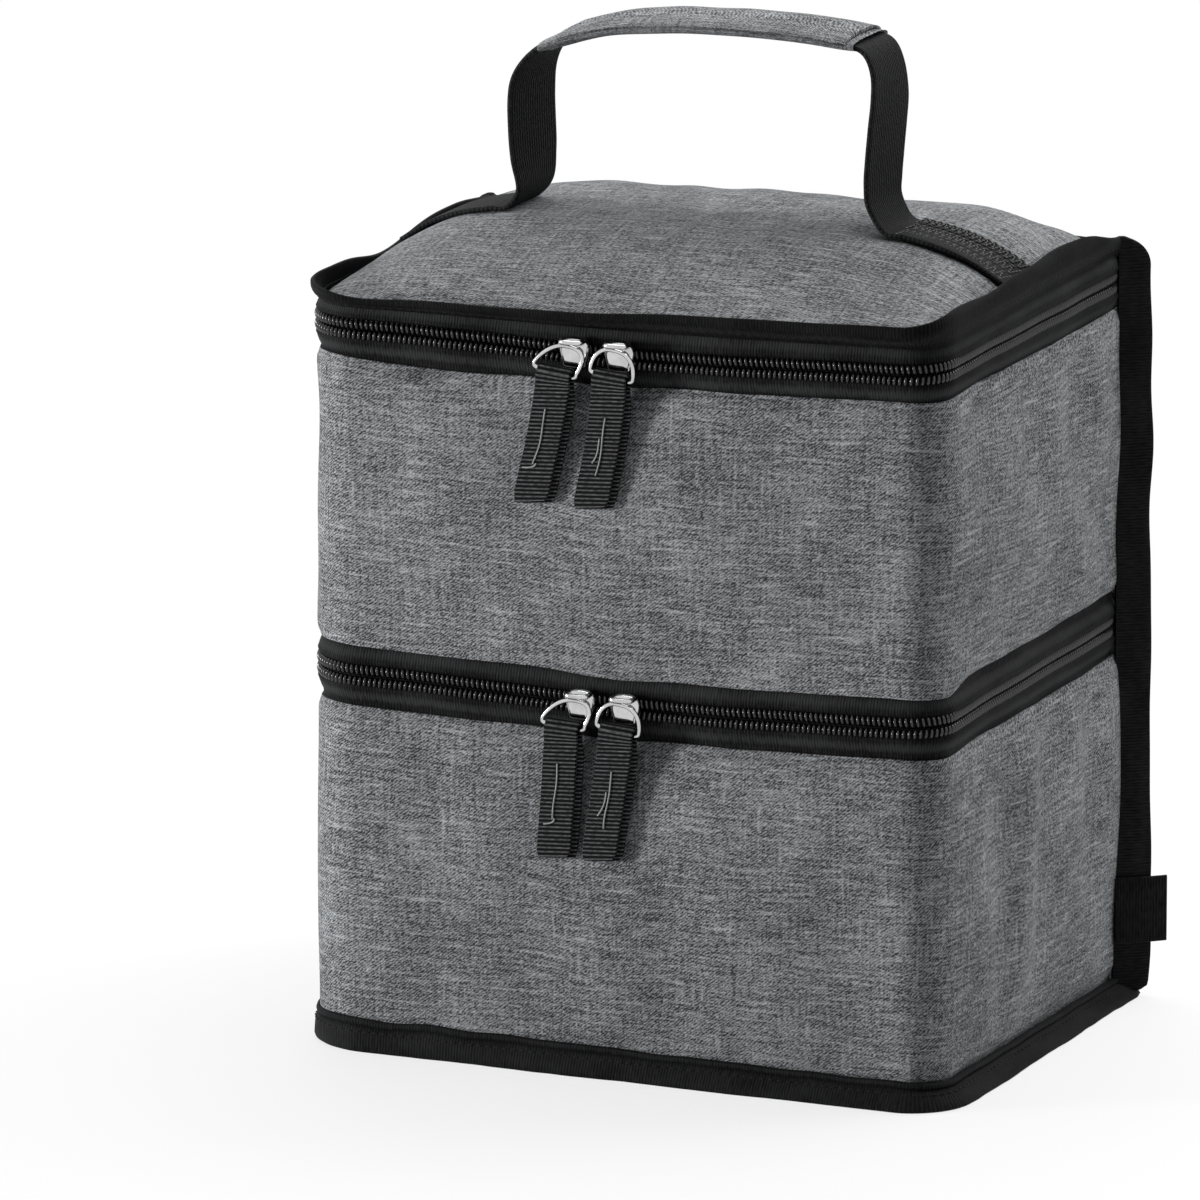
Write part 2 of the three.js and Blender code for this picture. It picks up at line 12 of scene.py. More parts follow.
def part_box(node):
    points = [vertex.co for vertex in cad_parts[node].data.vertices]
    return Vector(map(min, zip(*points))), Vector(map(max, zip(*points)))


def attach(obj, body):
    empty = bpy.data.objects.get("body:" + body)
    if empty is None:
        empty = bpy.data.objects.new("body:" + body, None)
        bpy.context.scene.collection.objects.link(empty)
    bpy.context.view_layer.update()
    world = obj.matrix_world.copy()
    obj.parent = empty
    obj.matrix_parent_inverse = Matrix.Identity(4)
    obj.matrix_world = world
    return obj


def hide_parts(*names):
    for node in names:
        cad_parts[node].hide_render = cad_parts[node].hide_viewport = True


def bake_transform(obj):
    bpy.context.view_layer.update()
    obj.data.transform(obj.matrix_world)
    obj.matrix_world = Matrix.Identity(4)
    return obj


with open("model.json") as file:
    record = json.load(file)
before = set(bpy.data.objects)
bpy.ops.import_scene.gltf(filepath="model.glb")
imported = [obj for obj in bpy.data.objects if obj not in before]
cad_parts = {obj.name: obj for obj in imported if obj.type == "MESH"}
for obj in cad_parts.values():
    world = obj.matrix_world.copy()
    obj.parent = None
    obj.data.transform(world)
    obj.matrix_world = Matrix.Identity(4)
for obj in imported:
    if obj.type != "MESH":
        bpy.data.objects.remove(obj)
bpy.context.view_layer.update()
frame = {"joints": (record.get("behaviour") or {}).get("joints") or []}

MM = 0.001
TURN = 2 * math.pi
QUARTER = math.pi / 2


def node_box(node):
    """Lowest and highest corner of a node of the frame, in millimetres."""
    low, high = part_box(node)
    return np.array(low) / MM, np.array(high) / MM


def level(node, end):
    """Height of a node's bottom (0) or top (1)."""
    return node_box(node)[end][2]


# Sizes that the frame gives
SIDE = node_box("lower_outer_wall")[1][0]
FRONT = -node_box("lower_outer_wall")[0][1]
WALL_END = node_box("lower_outer_wall")[1][1]
BACK = node_box("back_panel_lower")[1][1]
TAPE_BARE = {"lower": 1.6, "upper": 0.3}  # extra zip tape left bare above each box's cloth
WALLS = {
    name: (level(f"{name}_outer_wall", 0), level(f"{name}_outer_wall", 1) - bare) for name, bare in TAPE_BARE.items()
}
MID_ZIP = (level("mid_zip_lower_tape", 1) + level("mid_zip_upper_tape", 0)) / 2
TOP_ZIP = (level("top_zip_lower_tape", 1) + level("lid_zip_tape", 0)) / 2
LID_EDGE = level("lid_binding", 1)
JOINTS = {joint["name"]: joint for joint in frame["joints"]}

# Bag
CORNERS = (21.0, 13.0)  # the left and the tighter right upright corner at the front
BACK_CORNER = 6.0
CLOTH = 1.0
FRONT_BELLY = (1.7, 0.35, 0.7)  # belly of the front: depth, share of a corner that it takes in, power of its curve
SIDE_BELLY = (3.3, 0.3, 0.8)
BELLY_RISE = 0.65  # power of its curve from hem to hem
EDGE_TUCK = (1.1, 2.0)  # wall cloth drawn in at its sewn edges: depth and reach
FOOT_TUCK = (1.6, 2.5)  # and behind the base binding
HEM_LIFT = (2.2, 10.0, 14.0)  # rise of the upper box's lower hem on the sides: height, where it starts, and its run
HEM_DIP = (1.6, 30.0, 40.0)  # dip of its upper hem at the front left: depth, place past the corner, and reach
CREASE_LEAN = 0.3  # how much less the walls' creases change upwards than along
CREASE_SHARES = (0.2, 0.95)  # their height on the front, and what the sides add to it
CREASE_FADE = (1.6, 0.8)  # how fast they grow from a hem, and their height
DRIFT_START = 40.0  # height from which the hems drift in full
SETTLED = (  # how the soft bag has settled: height, then its rise, its tilt across and its tilt back
    (0.0, 0.0, 0.0, 0.0),
    (MID_ZIP, 0.3, -0.2, 0.3),
    (TOP_ZIP, -0.6, 0.2, 0.4),
    (238.0, -1.2, 1.0, 1.4),
    (250.0, -1.2, 2.0, 3.1),
)
FRONT_SAG = 2.4  # droop of the front, with its middle and reach across and its start behind the front
SAG_MIDDLE = 15.0
SAG_REACH = 60.0
SAG_START = 0.4
SAG_HEIGHTS = (10.0, 95.0, 229.0, 238.0)
WAVES = 9
WAVE_SPREAD = (0.7, 1.6)  # least and greatest length of a wave, as shares of the length asked for
UNEVEN = {  # unevenness of the pieces: seed, length and height
    "lower_crease": (3, 26, 1.0),
    "lower_swell": (4, 60, 0.45),
    "upper_crease": (11, 26, 1.0),
    "upper_swell": (12, 60, 0.45),
    "hem_drift": (17, 45, 0.35),
    "wall_dents": (23, 16, 0.45),
    "floor_dents": (24, 16, 0.45),
    "base_sway": (31, 34, 0.2),
    "base_ripple": (32, 9, 0.05),
    "base_edge": (33, 28, 0.22),
    "back_swell": (51, 60, 0.45),
    "fin_reach": (61, 38, 0.03),
    "fin_bend": (62, 50, 0.35),
    "lid_swell": (71, 55, 0.35),
    "lid_crease": (72, 20, 0.18),
    "lid_dents": (81, 18, 0.5),
    "lid_dimples": (82, 8, 0.25),
    "rim_lean": (91, 50, 4.0),
    "rim_width": (92, 40, 0.3),
    "elastic_ripple": (95, 14, 0.5),
    "grip_puff": (101, 24, 0.06),
    "flap_puff": (102, 22, 0.05),
    "divider_dents": (111, 22, 0.3),
}

# Linings
LININGS = {"lower": (1.5, 6.9, ["base_foam_board"]), "upper": (129.2, 133.8, [])}  # underside, floor, board inside
LINING_DROP = 1.2  # a lining's edge below its wall's
LINING_WALL = (1.7, 6.8)  # inset of its outer and its inner face
LINING_LIP = ((2.1, -1.6), (3.2, -0.3), (4.6, 0.0), (5.9, -0.9), (6.6, -2.6))  # inset, and height from the edge
LINING_FOOT = ((7.4, 5.0), (9.0, 2.2), (11.5, 0.7), (14.0, 0.0))  # inset, and height from the floor
LINING_BACK = 6.0  # inset from which it also leaves the back
LINING_RUN = (4.0, 6.0, 9.0)  # ends of its outer and inner face below its edge, and of the inner one above the floor
DENTED = 5.9  # inset from which its foil is dented
FLOOR_DENT = 0.8  # depth of its floor's dents, as a share of the wall's

# Back
SPLIT = (MID_ZIP + TOP_ZIP) / 2  # the back is made in two pieces, each across one fold
FOLD = 6.0  # half the height of cloth about a fold
FOLD_CREASE = (1.6, 4.5)  # depth and reach of the crease there
BACK_FOOT, BACK_TOP = 1.4, 234.0
BACK_PUFF = 1.3  # swell of the back's cloth
BACK_ENDS = (2.0, 4.0, 14.0)  # where it starts above the floor and ends below the lid's edge, and its run at both
BACK_TUCK = (0.8, 1.0, 3.0)  # tuck behind the base binding: depth, start above it, and run
BACK_FLAT = (4.0, 7.0)  # height below which the cloth is flat, and the run above it
BACK_FACES = (0.3, 4.2)  # depth of its outer and inner face
BACK_MARGIN = 0.4
CREASE_INSIDE = 0.4  # share of the crease that shows inside
FIN_ROOT = (SIDE - 0.6, BACK - 7.4)
FIN_TIP = (SIDE + 8.8, BACK - 1.2)
FIN_THICKNESS = 2.0
FIN_FOOT, FIN_TOP = 0.4, LID_EDGE - 0.9
FIN_TAPER = (1.05, 0.94)  # reach of the fin at its foot and at its top
FIN_ROUNDINGS = (3.4, 9.0)  # at its foot and at its top
TAG_REACH = 16.4  # length of the folded label
TAG_ROOT = (SIDE + 0.3, BACK - 8.0)
TAG_WAY = (0.8, 0.6)
TAG_BOW = (0.9, 0.5, 15.0)  # how far it stands off, and depth and length of its bow
TAG_THICKNESS = 1.1

# Lid
DOME_EDGE = 235.0
DOME_RISE = 19.0
DOME_INSET = 0.5
DOME_LEFT = 6.4  # how full the dome is to the left, to the right from front to back, to the front and to the back
DOME_RIGHT = ((-45.0, -12.0, 12.0, 50.0), (3.4, 4.4, 4.4, 7.0))
DOME_AHEAD = 2.6
DOME_BEHIND = 3.2
LID_INSETS = (1.1, 2.2)  # of the lid's cloth from the walls and from the back
LID_TURN = (3.4, 40)  # how far it turns down into its seam, and how sharply
LID_CLOTH = 1.5
PADDING_INSETS = (2.4, 4.4)
PADDING_DROP = 2.0
UNDER_LID = (231.4, 17.0, 2.2)  # height of the lid's lining at the edge, its rise, and how full it is
RIM_ROOT = 235.0  # seam that carries the lid's binding
RIM_INSET = 0.9
RIM_THICKNESS = 1.8
RIM_SHAPES = {  # degrees that its face leans out, degrees that its hem turns in, width of the face, whole width
    "front_left": (64, 50, 4.6, 7.4),
    "front_right": (54, 56, 5.0, 9.2),
    "right": (7, 40, 7.0, 10.2),
    "back": (40, 10, 3.0, 4.0),
    "left": (-8, 20, 7.0, 8.9),
}
RIM_HEM = 2.0  # width over which its hem turns
RIM_CURL = (0.8, 0.4)  # share of the lean at the seam, and what it gains to the hem
RIM_RIDGE = (0.2, 0.25, 0.06)  # ridge over its stitches: height, place and reach
RIM_BACK = 1.0  # how far it stays in from the back
RIM_EAR = (14.0, 4.0)  # extra lean and width where the binding stands off the front left corner
EAR_REACH = 7.5
RIM_FALL = (0.62, 36.0, 38.0)  # share of its width that it loses towards the back corners, from where, over what run
RIM_PINCH = 0.3  # and at the corners themselves
RIM_DIP = (5.6, -13.0, 27.0)  # dip of the binding on the left: its depth, middle and reach
RIM_SEAM = 4  # its row of points that carries the stitches
NET_GRID = (54, 31)
NET_MARGIN = 3.0
NET_STRAND = 0.42
NET_SAG = 2.2
ELASTIC = (8.0, 1.7)  # width and thickness

# Bindings of the base and the divider
BASE_TOP = 9.8
BASE_PANEL = 1.3  # thickness and inset of the panel
PANEL_EDGE = 0.25  # rise of its underside at the edge
BASE_SHAPE = (  # the binding's face from its upper edge down: out from the wall, and height
    *((0.2, 10.2), (0.9, 9.9), (1.15, 9.1), (1.0, 8.4), (0.2, 7.9), (0.9, 7.4)),
    *((1.5, 6.2), (1.9, 4.4), (2.2, 2.6), (2.4, 1.2), (2.1, 0.4), (1.5, 0.05)),
)
BASE_INNER = -0.4
BASE_FLARE = (-0.9, 3.4)  # extra reach of its foot on the left and on the right
FLARE_END = 0.7  # share of the right half at which it is whole
BASE_LOOSE = (7.6, 6.0, 0.08)  # height from which its foot stands loose, the run down to there, and the least share
BASE_TAIL = 1.6  # extra reach of its foot at the back corners
BASE_TILT = (-1.75, -1.4, -0.95)  # rise of its upper edge, and its tilt across and back
BASE_SEAM = (6.3, 1.5, 0.25)  # its stitches: height, out from the wall, and share of the flare
STITCH_PITCH = 2.9
BASE_STITCH = (1.1, 0.24, 0.3)  # half sizes along, across and out
RIM_STITCH = (1.0, 0.2, 0.2)
DIVIDER_INSETS = (2.6, 0.2, 0.3)  # of the panel from the walls and the back, and of its tape from the back
DIVIDER_TOP = 1.2
TAPE_LIFT = 0.2
DIVIDER_TAPE = (  # round the divider's tape: inset and height
    *((2.7, 0.9), (2.7, 0.1), (4.0, -0.2), (7.5, -0.2), (9.8, 0.1), (10.4, 0.6), (10.0, 1.2), (5.0, 1.3)),
)

# Zips
ZIP_REACHES = (  # each half: its name, body, line, hand, and the reach of its tape
    ("mid_zip_lower", "lower_compartment", MID_ZIP, -1, 13.0),
    ("mid_zip_upper", "upper_compartment", MID_ZIP, 1, 13.0),
    ("top_zip_lower", "upper_compartment", TOP_ZIP, -1, 12.0),
    ("lid_zip", "lid", TOP_ZIP, 1, 10.2),
)
ZIP_SHAPE = (  # the tape's face from its teeth outwards: out from the wall, and away from the zip's line
    *((-0.55, 0.2), (-0.35, 0.8), (-0.3, 3.4), (0.05, 4.0), (0.12, 4.4)),
    *((-0.1, 4.9), (-0.3, 5.6), (-0.8, 7.0), (-1.5, 8.4)),
)
ZIP_HEM = ((-1.9, -0.6), (-2.1, 0.0))  # the same at its hem, from the tape's reach
ZIP_SWAY = (0.22, 30.0)
ZIP_TUCK = (0.8, 5.0)  # how far a zip's ends go in behind the fins, and over what run
ZIP_BAND_AND_SHADE = (0.42, 6.7, 1.9)  # a tape's paler band, with painted shade darkening the rest of the tape towards its hem and teeth: strength, place from its edge, and reach to each side
# the same for the lid's binding: a paler band, with painted shade darkening the rest of it
RIM_BAND_AND_SHADE = (0.3, 3.4, 1.8)
TAPE = 0.8
TOOTH_PITCH = 1.67
TOOTH = (0.62, 1.75, 1.2)  # half sizes along, across and out
TOOTH_ROW = 1.8  # zip line to the middle of a row
TOOTH_OUT = 0.6
TOOTH_SINK = 1.6  # how far the teeth sink into the tape along the sides
TOOTH_TUCK = 1.6  # how much further than the tape they go in at a zip's ends
TOOTH_SLANT = 0.16

# Handle
STRAP = 1.6
STRAP_WIDTH = 25.0
FEET = ((-99, -90, -80, -70, -64), (60, 67, 78, 89, 99))  # places across of the sewn feet
FOOT_GAP = 0.3
FOOT_ROWS = (-8.2, 0.0, 8.2)  # zigzags of stitches on a foot, their run, half width and points
FOOT_RUN = (64.0, 98.0)
ZIGZAG = 3.3
ZIGZAG_POINTS = 32
FOOT_PITCH = 1.9
FOOT_STITCH = (0.9, 0.28, 0.3)
STITCH_LIFT = 0.35
FOOT_SLOPE = 0.3
LEFT_RISER = [(-59.5, 257.5), (-59.9, 267), (-60.4, 276), (-60.6, 285), (-59.8, 292), (-57.0, 298), (-52.6, 302.4)]
GRIP_LINE = [(-47, 304.5), (-38, 307.3), (-27, 309.5), (-10, 311.2), (4, 311.7), (18, 311.8), (34, 311.1)]
GRIP_LINE += [(48, 309.7)]
GRIP_END = (50.5, 309.6)
RIGHT_RISER = [(53.4, 307.6), (56.2, 301.5), (56.9, 293), (56.2, 284), (55.4, 275), (54.9, 267), (55.4, 260.5)]
RISER_TWISTS = (10.5, 4.6)  # degrees that the front edges turn to the left
RISER_MIDDLE = (279.0, 19.0)  # height and reach of the twist
GRIP_HALF = (14.6, 2.2)  # half the width and thickness
GRIP_ROUND = (0.6, 0.8)  # how square its section is across and up
GRIP_EVEN = 0.97  # share of its width that the puff leaves alone
GRIP_PINCH = (0.2, 4.0)  # share of its thickness that its ends lose, and over what run
GRIP_FOLD = ((0.4, 0.9), (2.5, 0.84))  # its ends folded in: distance and scale
GRIP_TURN = 3.0
GRIP_GIRTH = 66.0
PUFF_WIDTH = 12.0  # how the puff changes across it
FLAP_STEPS = (6, 87)  # first and last step of the grip under the flap
FLAP_WRAP = (-0.5, math.pi - 0.28)
FLAP_GIRTH = 36.0
FLAP_FACES = (1.0, 0.15)  # its outer and inner face above the sleeve
FLAP_ASIDE = 0.6  # share of that at the sides
FLAP_WEAVE = 300.0  # moves its weave away from the sleeve's

# Pulls
SLIDER_SIDE = [(0, 3.9), (2.4, 3.6), (4.3, 2.3), (4.9, 0.4), (4.5, -1.8), (3.8, -3.9), (3.3, -5.3), (0, -5.6)]
SLIDER_DOME = ((1.6, 0.94), (1.9, 1.0), (2.6, 1.0), (3.2, 0.96), (3.7, 0.86), (4.1, 0.68), (4.3, 0.4))  # out, scale
SLIDER_SINK = 0.45  # share of the settled zip's drop that a slider follows
SLIDER_GAP = 0.8  # room between a slider and the teeth under it
SLIDER_SHIFT = {"left": 3.6, "right": 0.0}  # how far a slider stands to the right of its tab's pivot
BRIDGE = [(-3.3, -2.6), (-3.4, -0.4), (-3.0, 1.0), (-1.8, 1.5), (0.0, 1.6)]  # half the bridge: across and out
BRIDGE_BAR = (0.8, 0.75)
BRIDGE_LIFT = 1.6  # the slider's bridge above the ring's eye, clear of the swinging ring
WIRE = 0.7
RING_WIDTH = 13.8
RING_DROP = 8.6
RING_BEND = 1.8
RING_SQUARE = (0.35, 0.8)  # powers of the curves of its bar and of its sides
TAB_WIDTH = 11.0
TAB_LENGTH = 42.0
TAB_CLOTH = 1.1
TAB_GAP = TAB_CLOTH / 2 + 0.08
TAB_SIDE = [(TAB_GAP, z) for z in (-TAB_LENGTH + 0.6, -31, -18, -9)]  # half the folded cloth seen from the side
TAB_SIDE += [(0.75, -4.4), (1.5, -1.9), (1.78, 0.2), (0.98, 1.55)]
TAB_TOP = (0.0, 1.86)
TAB_THREADS = (  # threads on a left and a right tab: top, bottom, place across and stray of the end
    ((-11.5, -29.5, -0.6, -0.4), (-29.0, -31.5, -0.4, -3.6)),
    ((-12.5, -31.0, 0.3, 0.2), (-19.5, -27.5, -0.6, -1.2)),
)
TAB_SLIP = (2.0, 9.0)  # how far the back of a tab lies to the side of its front, and over what run
TAB_TUCK = (2.6, 1.6, 1.5)  # how far a tab bends back to the wall, how soon, and the power of its curve
TAB_RIPPLE = (0.25, 9.0)
TAB_WANDER = (0.25, 13.0)
TAB_THIN = 0.92
TAB_SKEW = 0.06  # rise of its ribs across a tab that hangs straight
TAB_SQUARE = (0.35, 7.0)  # share of the skew at the bar, and the run down to the full skew
TAB_ENDS = (0.26, 3.6)  # share of its width that a cut end loses, and over what run
RIB_PITCH = 1.3
RIB_RISE = (0.34, 0.012)  # of its thickness and of its width
THREAD = 0.24
THREAD_SIDES = 6
THREAD_ASIDE = (0.31, 0.87, 0.39)  # a way in which no thread runs
THREAD_WANDER = (0.45, 3.1)
THREAD_OUT = 0.72  # from the cloth's face, as a share of its thickness

# Signs
SIGN_PLACE = (62.0, 2.0)  # along the wall from the back, and above its middle
SIGN_FRAME = (10.0, 3.0)  # half size and corner
SIGN_STROKE = (0.9, 0.3)
SIGN_LIFT = 0.12
SIGN_STEP = 0.8
SUN = (3.1, 4.6, 6.6)  # radius, and start and end of its rays
SNOW_ARM = (0.2, 7.0)
SNOW_TWIGS = (3.4, 5.2)
TWIG = 1.6

# Facets
CLOTH_UV = "cloth"
TWILL_PITCH = 0.78
PLAN_STEPS = 8000
LOOP_STEPS = 220
BACK_STEPS = 50
WALL_GRID = (330, 48)
WALL_EVEN = 0.65  # share of even spacing in a wall's rows, which crowd at the hems
LINING_STEPS = (26, 16)
BACK_GRID = (100, 60)
FIN_GRID = (130, 11)
RIM_GRID = (460, 20)
BINDING_STEPS = 420
SEAM_STEPS = 500
TAPE_STEPS = 300
TEETH_STEPS = 420
GRIP_GRID = (90, 64)
FLAP_STEPS_ROUND = 34
STRAP_GRID = (280, 17)
ELASTIC_GRID = (90, 9)
TAB_GRID = (420, 11)
TAG_GRID = (24, 15)
RING_GRID = (72, 12)
SLIDER_STEPS = (22, 12, 16)  # round half the plate, along half the bridge and round its bar
THREAD_STEPS = 40
STROKE_STEPS = 5
PAD_RINGS = {"base_panel": 8, "divider_panel": 20, "lid_padding": 34, "lid_cloth": 44}
PAD_CROWD = 1.6  # how much a pad's rings crowd at its edge
CURVE_FINE = 8  # finer steps that a smooth line is measured with
LOOP_STRIDES = (2.0, 2.2)  # millimetres that dents and a tape's map take for a step round the plan
SHARP = math.radians(50)


# Node sockets
class Socket:
    """A node's socket that plain arithmetic works on: an expression on values adds its Math nodes."""

    def __init__(self, tree, socket=None):
        self.tree = tree
        self.socket = socket

    def node(self, kind, settings=None, inputs=None, output=0):
        made = self.tree.nodes.new(kind)
        for key, value in (settings or {}).items():
            setattr(made, key, value)
        for key, value in (inputs or {}).items():
            if isinstance(value, Socket):
                self.tree.links.new(value.socket, made.inputs[key])
            else:
                made.inputs[key].default_value = value
        return Socket(self.tree, made.outputs[output] if len(made.outputs) else None)

    def beside(self, output):
        """Another output of the same node."""
        return Socket(self.tree, self.socket.node.outputs[output])

    def math(self, operation, *values):
        return self.node("ShaderNodeMath", {"operation": operation}, dict(enumerate(values)))

    def __add__(self, other):
        return self.math("ADD", self, other)

    def __radd__(self, other):
        return self.math("ADD", other, self)

    def __sub__(self, other):
        return self.math("SUBTRACT", self, other)

    def __rsub__(self, other):
        return self.math("SUBTRACT", other, self)

    def __mul__(self, other):
        return self.math("MULTIPLY", self, other)

    def __rmul__(self, other):
        return self.math("MULTIPLY", other, self)

    def __truediv__(self, other):
        return self.math("DIVIDE", self, other)


# Finishes
def blank_finish(name):
    material = bpy.data.materials.new(name)
    material.use_nodes = True
    material.node_tree.nodes.clear()
    return material, Socket(material.node_tree)


def new_finish(name, surface, *details):
    """A material whose shader takes what a function for its surface gives."""
    material, graph = blank_finish(name)
    shader = graph.node("ShaderNodeBsdfPrincipled", {}, surface(graph, *details))
    graph.node("ShaderNodeOutputMaterial", {}, {"Surface": shader})
    return material


def grey(value, blue=1.0):
    return (value, value * (1 + blue) / 2, value * blue, 1.0)


def mix(graph, share, low, high):
    settings = {"data_type": "RGBA", "clamp_factor": True}
    return graph.node("ShaderNodeMix", settings, {0: share, 6: low, 7: high}, 2)


def cloth_places(graph):
    """Millimetres along and across the cloth, from the piece's own map."""
    place = graph.node("ShaderNodeUVMap", {"uv_map": CLOTH_UV})
    parts = graph.node("ShaderNodeSeparateXYZ", {}, {0: place})
    return parts / MM, parts.beside(1) / MM


def noise(graph, a, b, detail=2.0):
    place = graph.node("ShaderNodeCombineXYZ", {}, {0: a, 1: b})
    inputs = {"Vector": place, "Scale": 1.0, "Detail": detail}
    return graph.node("ShaderNodeTexNoise", {"noise_dimensions": "2D"}, inputs)


def solid_noise(graph, scale, detail=3.0, output=0):
    place = graph.node("ShaderNodeTexCoord", {}, {}, "Object")
    return graph.node("ShaderNodeTexNoise", {}, {"Vector": place, "Scale": scale, "Detail": detail}, output)


def ripple(graph, place, pitch):
    return graph.math("COSINE", place * (TURN / pitch))


def bump(graph, height, strength, depth):
    inputs = {"Strength": strength, "Distance": depth * MM, "Height": height}
    return graph.node("ShaderNodeBump", {}, inputs)


def heather_cloth(graph):
    """Melange cloth: a fine twill of mixed greys, with long streaks and a few pale slubs both ways."""
    along, up = cloth_places(graph)
    stray = noise(graph, along / 3.0, up / 2.0)
    twill = ripple(graph, up * 0.79 - along * 0.61 + stray * 1.3, TWILL_PITCH)
    dash = noise(graph, along / 1.7, up / 0.55)
    speck = noise(graph, along / 0.7, up / 0.7)
    weft = noise(graph, along / 13.0, up / 1.0)
    warp = noise(graph, along / 1.0, up / 15.0)
    slub = graph.math("MAXIMUM", noise(graph, along / 14.0, up / 1.5, 1.0) - 0.6, 0.0)
    upright = graph.math("MAXIMUM", noise(graph, along / 1.4, up / 20.0, 1.0) - 0.62, 0.0)
    patch = noise(graph, along / 40.0, up / 26.0)
    tone = 0.36 + twill * 0.24 + (dash - 0.5) * 1.25 + (speck - 0.5) * 1.0 + (weft - 0.5) * 0.8
    tone = tone + (warp - 0.5) * 0.45 + (patch - 0.5) * 0.35 + slub * 1.6 + upright * 1.0
    colour = mix(graph, tone, grey(0.026, 1.08), grey(0.34, 1.07))
    normal = bump(graph, twill * 0.5 + dash + weft * 0.8 + warp * 0.5, 0.3, 0.5)
    return {"Base Color": colour, "Roughness": 0.9, "Specular IOR Level": 0.12, "Normal": normal}


def woven_tape(graph, low, high, band_and_shade=None):
    """Woven tape: fine ribs across its length, a dull sheen, and, where asked, a paler band with painted shade
    darkening the tape outside it.
    """
    along, across = cloth_places(graph)
    ribs = ripple(graph, along, 0.95)
    grain = noise(graph, along / 0.7, across / 3.0)
    cloud = noise(graph, along / 18.0, across / 6.0)
    tone = 0.3 + ribs * 0.16 + (grain - 0.5) * 0.9 + (cloud - 0.5) * 0.5
    # painted shade: outside its paler band the tape is darker, towards the edges that hems and teeth shade
    if band_and_shade:
        strength, middle, reach = band_and_shade
        aside = (across - middle) / reach
        tone = tone - 0.14 + graph.math("MAXIMUM", 1.0 - aside * aside, 0.0) * strength
    colour = mix(graph, tone, low, high)
    rough = 0.68 + (grain - 0.5) * 0.3
    normal = bump(graph, ribs * 0.4 + grain, 0.35, 0.3)
    return {"Base Color": colour, "Roughness": rough, "Specular IOR Level": 0.04, "Normal": normal}


def black_webbing(graph):
    """Heavy webbing: cords along its length, broken by the weave, with painted highlights where cords and weave rise
    together.
    """
    along, across = cloth_places(graph)
    cords = ripple(graph, across, 1.25)
    weave = ripple(graph, along + across * 0.6, 1.5)
    grain = noise(graph, along / 2.2, across / 0.6)
    # the paler cords are the weave's own pattern; the bright spots where cords and weave meet are painted highlights
    tone = 0.3 + cords * 0.14 + cords * weave * 0.16 + (grain - 0.5) * 0.8
    colour = mix(graph, tone, grey(0.003), grey(0.03, 1.05))
    normal = bump(graph, cords + cords * weave * 0.6 + grain, 0.5, 0.35)
    return {"Base Color": colour, "Roughness": 0.7, "Specular IOR Level": 0.05, "Normal": normal}


def ribbed_webbing_painted_light(graph):
    """Narrow webbing of the pull tabs: raised ribs across it, painted pale as highlights, with painted shade in the
    grooves between them.
    """
    along, across = cloth_places(graph)
    # the ribs' pale colour is a painted highlight, and the dark between them painted shade
    ribs = graph.math("POWER", ripple(graph, along, RIB_PITCH) * 0.5 + 0.5, 3.0)
    grain = noise(graph, along / 0.5, across / 1.6)
    tone = ribs * (0.6 + (grain - 0.5) * 1.6)
    colour = mix(graph, tone, grey(0.003), grey(0.14, 1.05))
    normal = bump(graph, grain, 0.4, 0.2)
    return {"Base Color": colour, "Roughness": 0.7, "Specular IOR Level": 0.05, "Normal": normal}


def gloss_nylon(graph):
    """Zip teeth: black nylon with a soft shine."""
    speck = solid_noise(graph, 900.0)
    colour = mix(graph, speck, grey(0.004), grey(0.014, 1.05))
    return {"Base Color": colour, "Roughness": 0.14 + speck * 0.12, "Specular IOR Level": 0.5}


def bright_metal(graph):
    """Plated metal with faint scratches, and darker patches that paint the dark parts of its reflections."""
    dark_reflection_patches = solid_noise(graph, 260.0)
    scratch = solid_noise(graph, 1600.0, 5.0)
    # painted reflection: darker patches in its colour stand in for the dark things it mirrors
    colour = mix(graph, dark_reflection_patches, grey(0.4), grey(0.72))
    rough = 0.05 + dark_reflection_patches * 0.1 + scratch * 0.06
    return {"Base Color": colour, "Metallic": 1.0, "Roughness": rough, "Normal": bump(graph, scratch, 0.05, 0.1)}


def silver_foil(graph):
    """Aluminised film over foam: crinkles and small dents."""
    place = graph.node("ShaderNodeTexCoord", {}, {}, "Object")
    warp = solid_noise(graph, 60.0, output="Color")
    bent = graph.node("ShaderNodeVectorMath", {"operation": "MULTIPLY_ADD"}, {0: warp, 1: (0.02,) * 3, 2: place})
    cells = graph.node("ShaderNodeTexVoronoi", {"feature": "DISTANCE_TO_EDGE"}, {"Vector": bent, "Scale": 95.0})
    soft = solid_noise(graph, 130.0)
    colour = mix(graph, soft, grey(0.55, 1.03), grey(0.86, 1.02))
    normal = bump(graph, cells + soft * 0.8, 0.55, 1.2)
    return {"Base Color": colour, "Metallic": 0.92, "Roughness": 0.2 + soft * 0.22, "Normal": normal}


def thread(graph, low, high):
    """Sewing thread with a twist."""
    fibre = solid_noise(graph, 1500.0)
    colour, rough = mix(graph, fibre, grey(low), grey(high)), 0.6 + fibre * 0.2
    normal = bump(graph, fibre, 0.2, 0.1)
    return {"Base Color": colour, "Roughness": rough, "Specular IOR Level": 0.1, "Normal": normal}


def seen_rays(graph):
    """1 for the rays that see a surface straight, mirrored or through glass, and 0 for those that light things."""
    ray = graph.node("ShaderNodeLightPath")
    straight, mirrored, through = (ray.beside(f"Is {kind} Ray") for kind in ("Camera", "Glossy", "Transmission"))
    return graph.math("MINIMUM", straight + mirrored + through, 1.0)


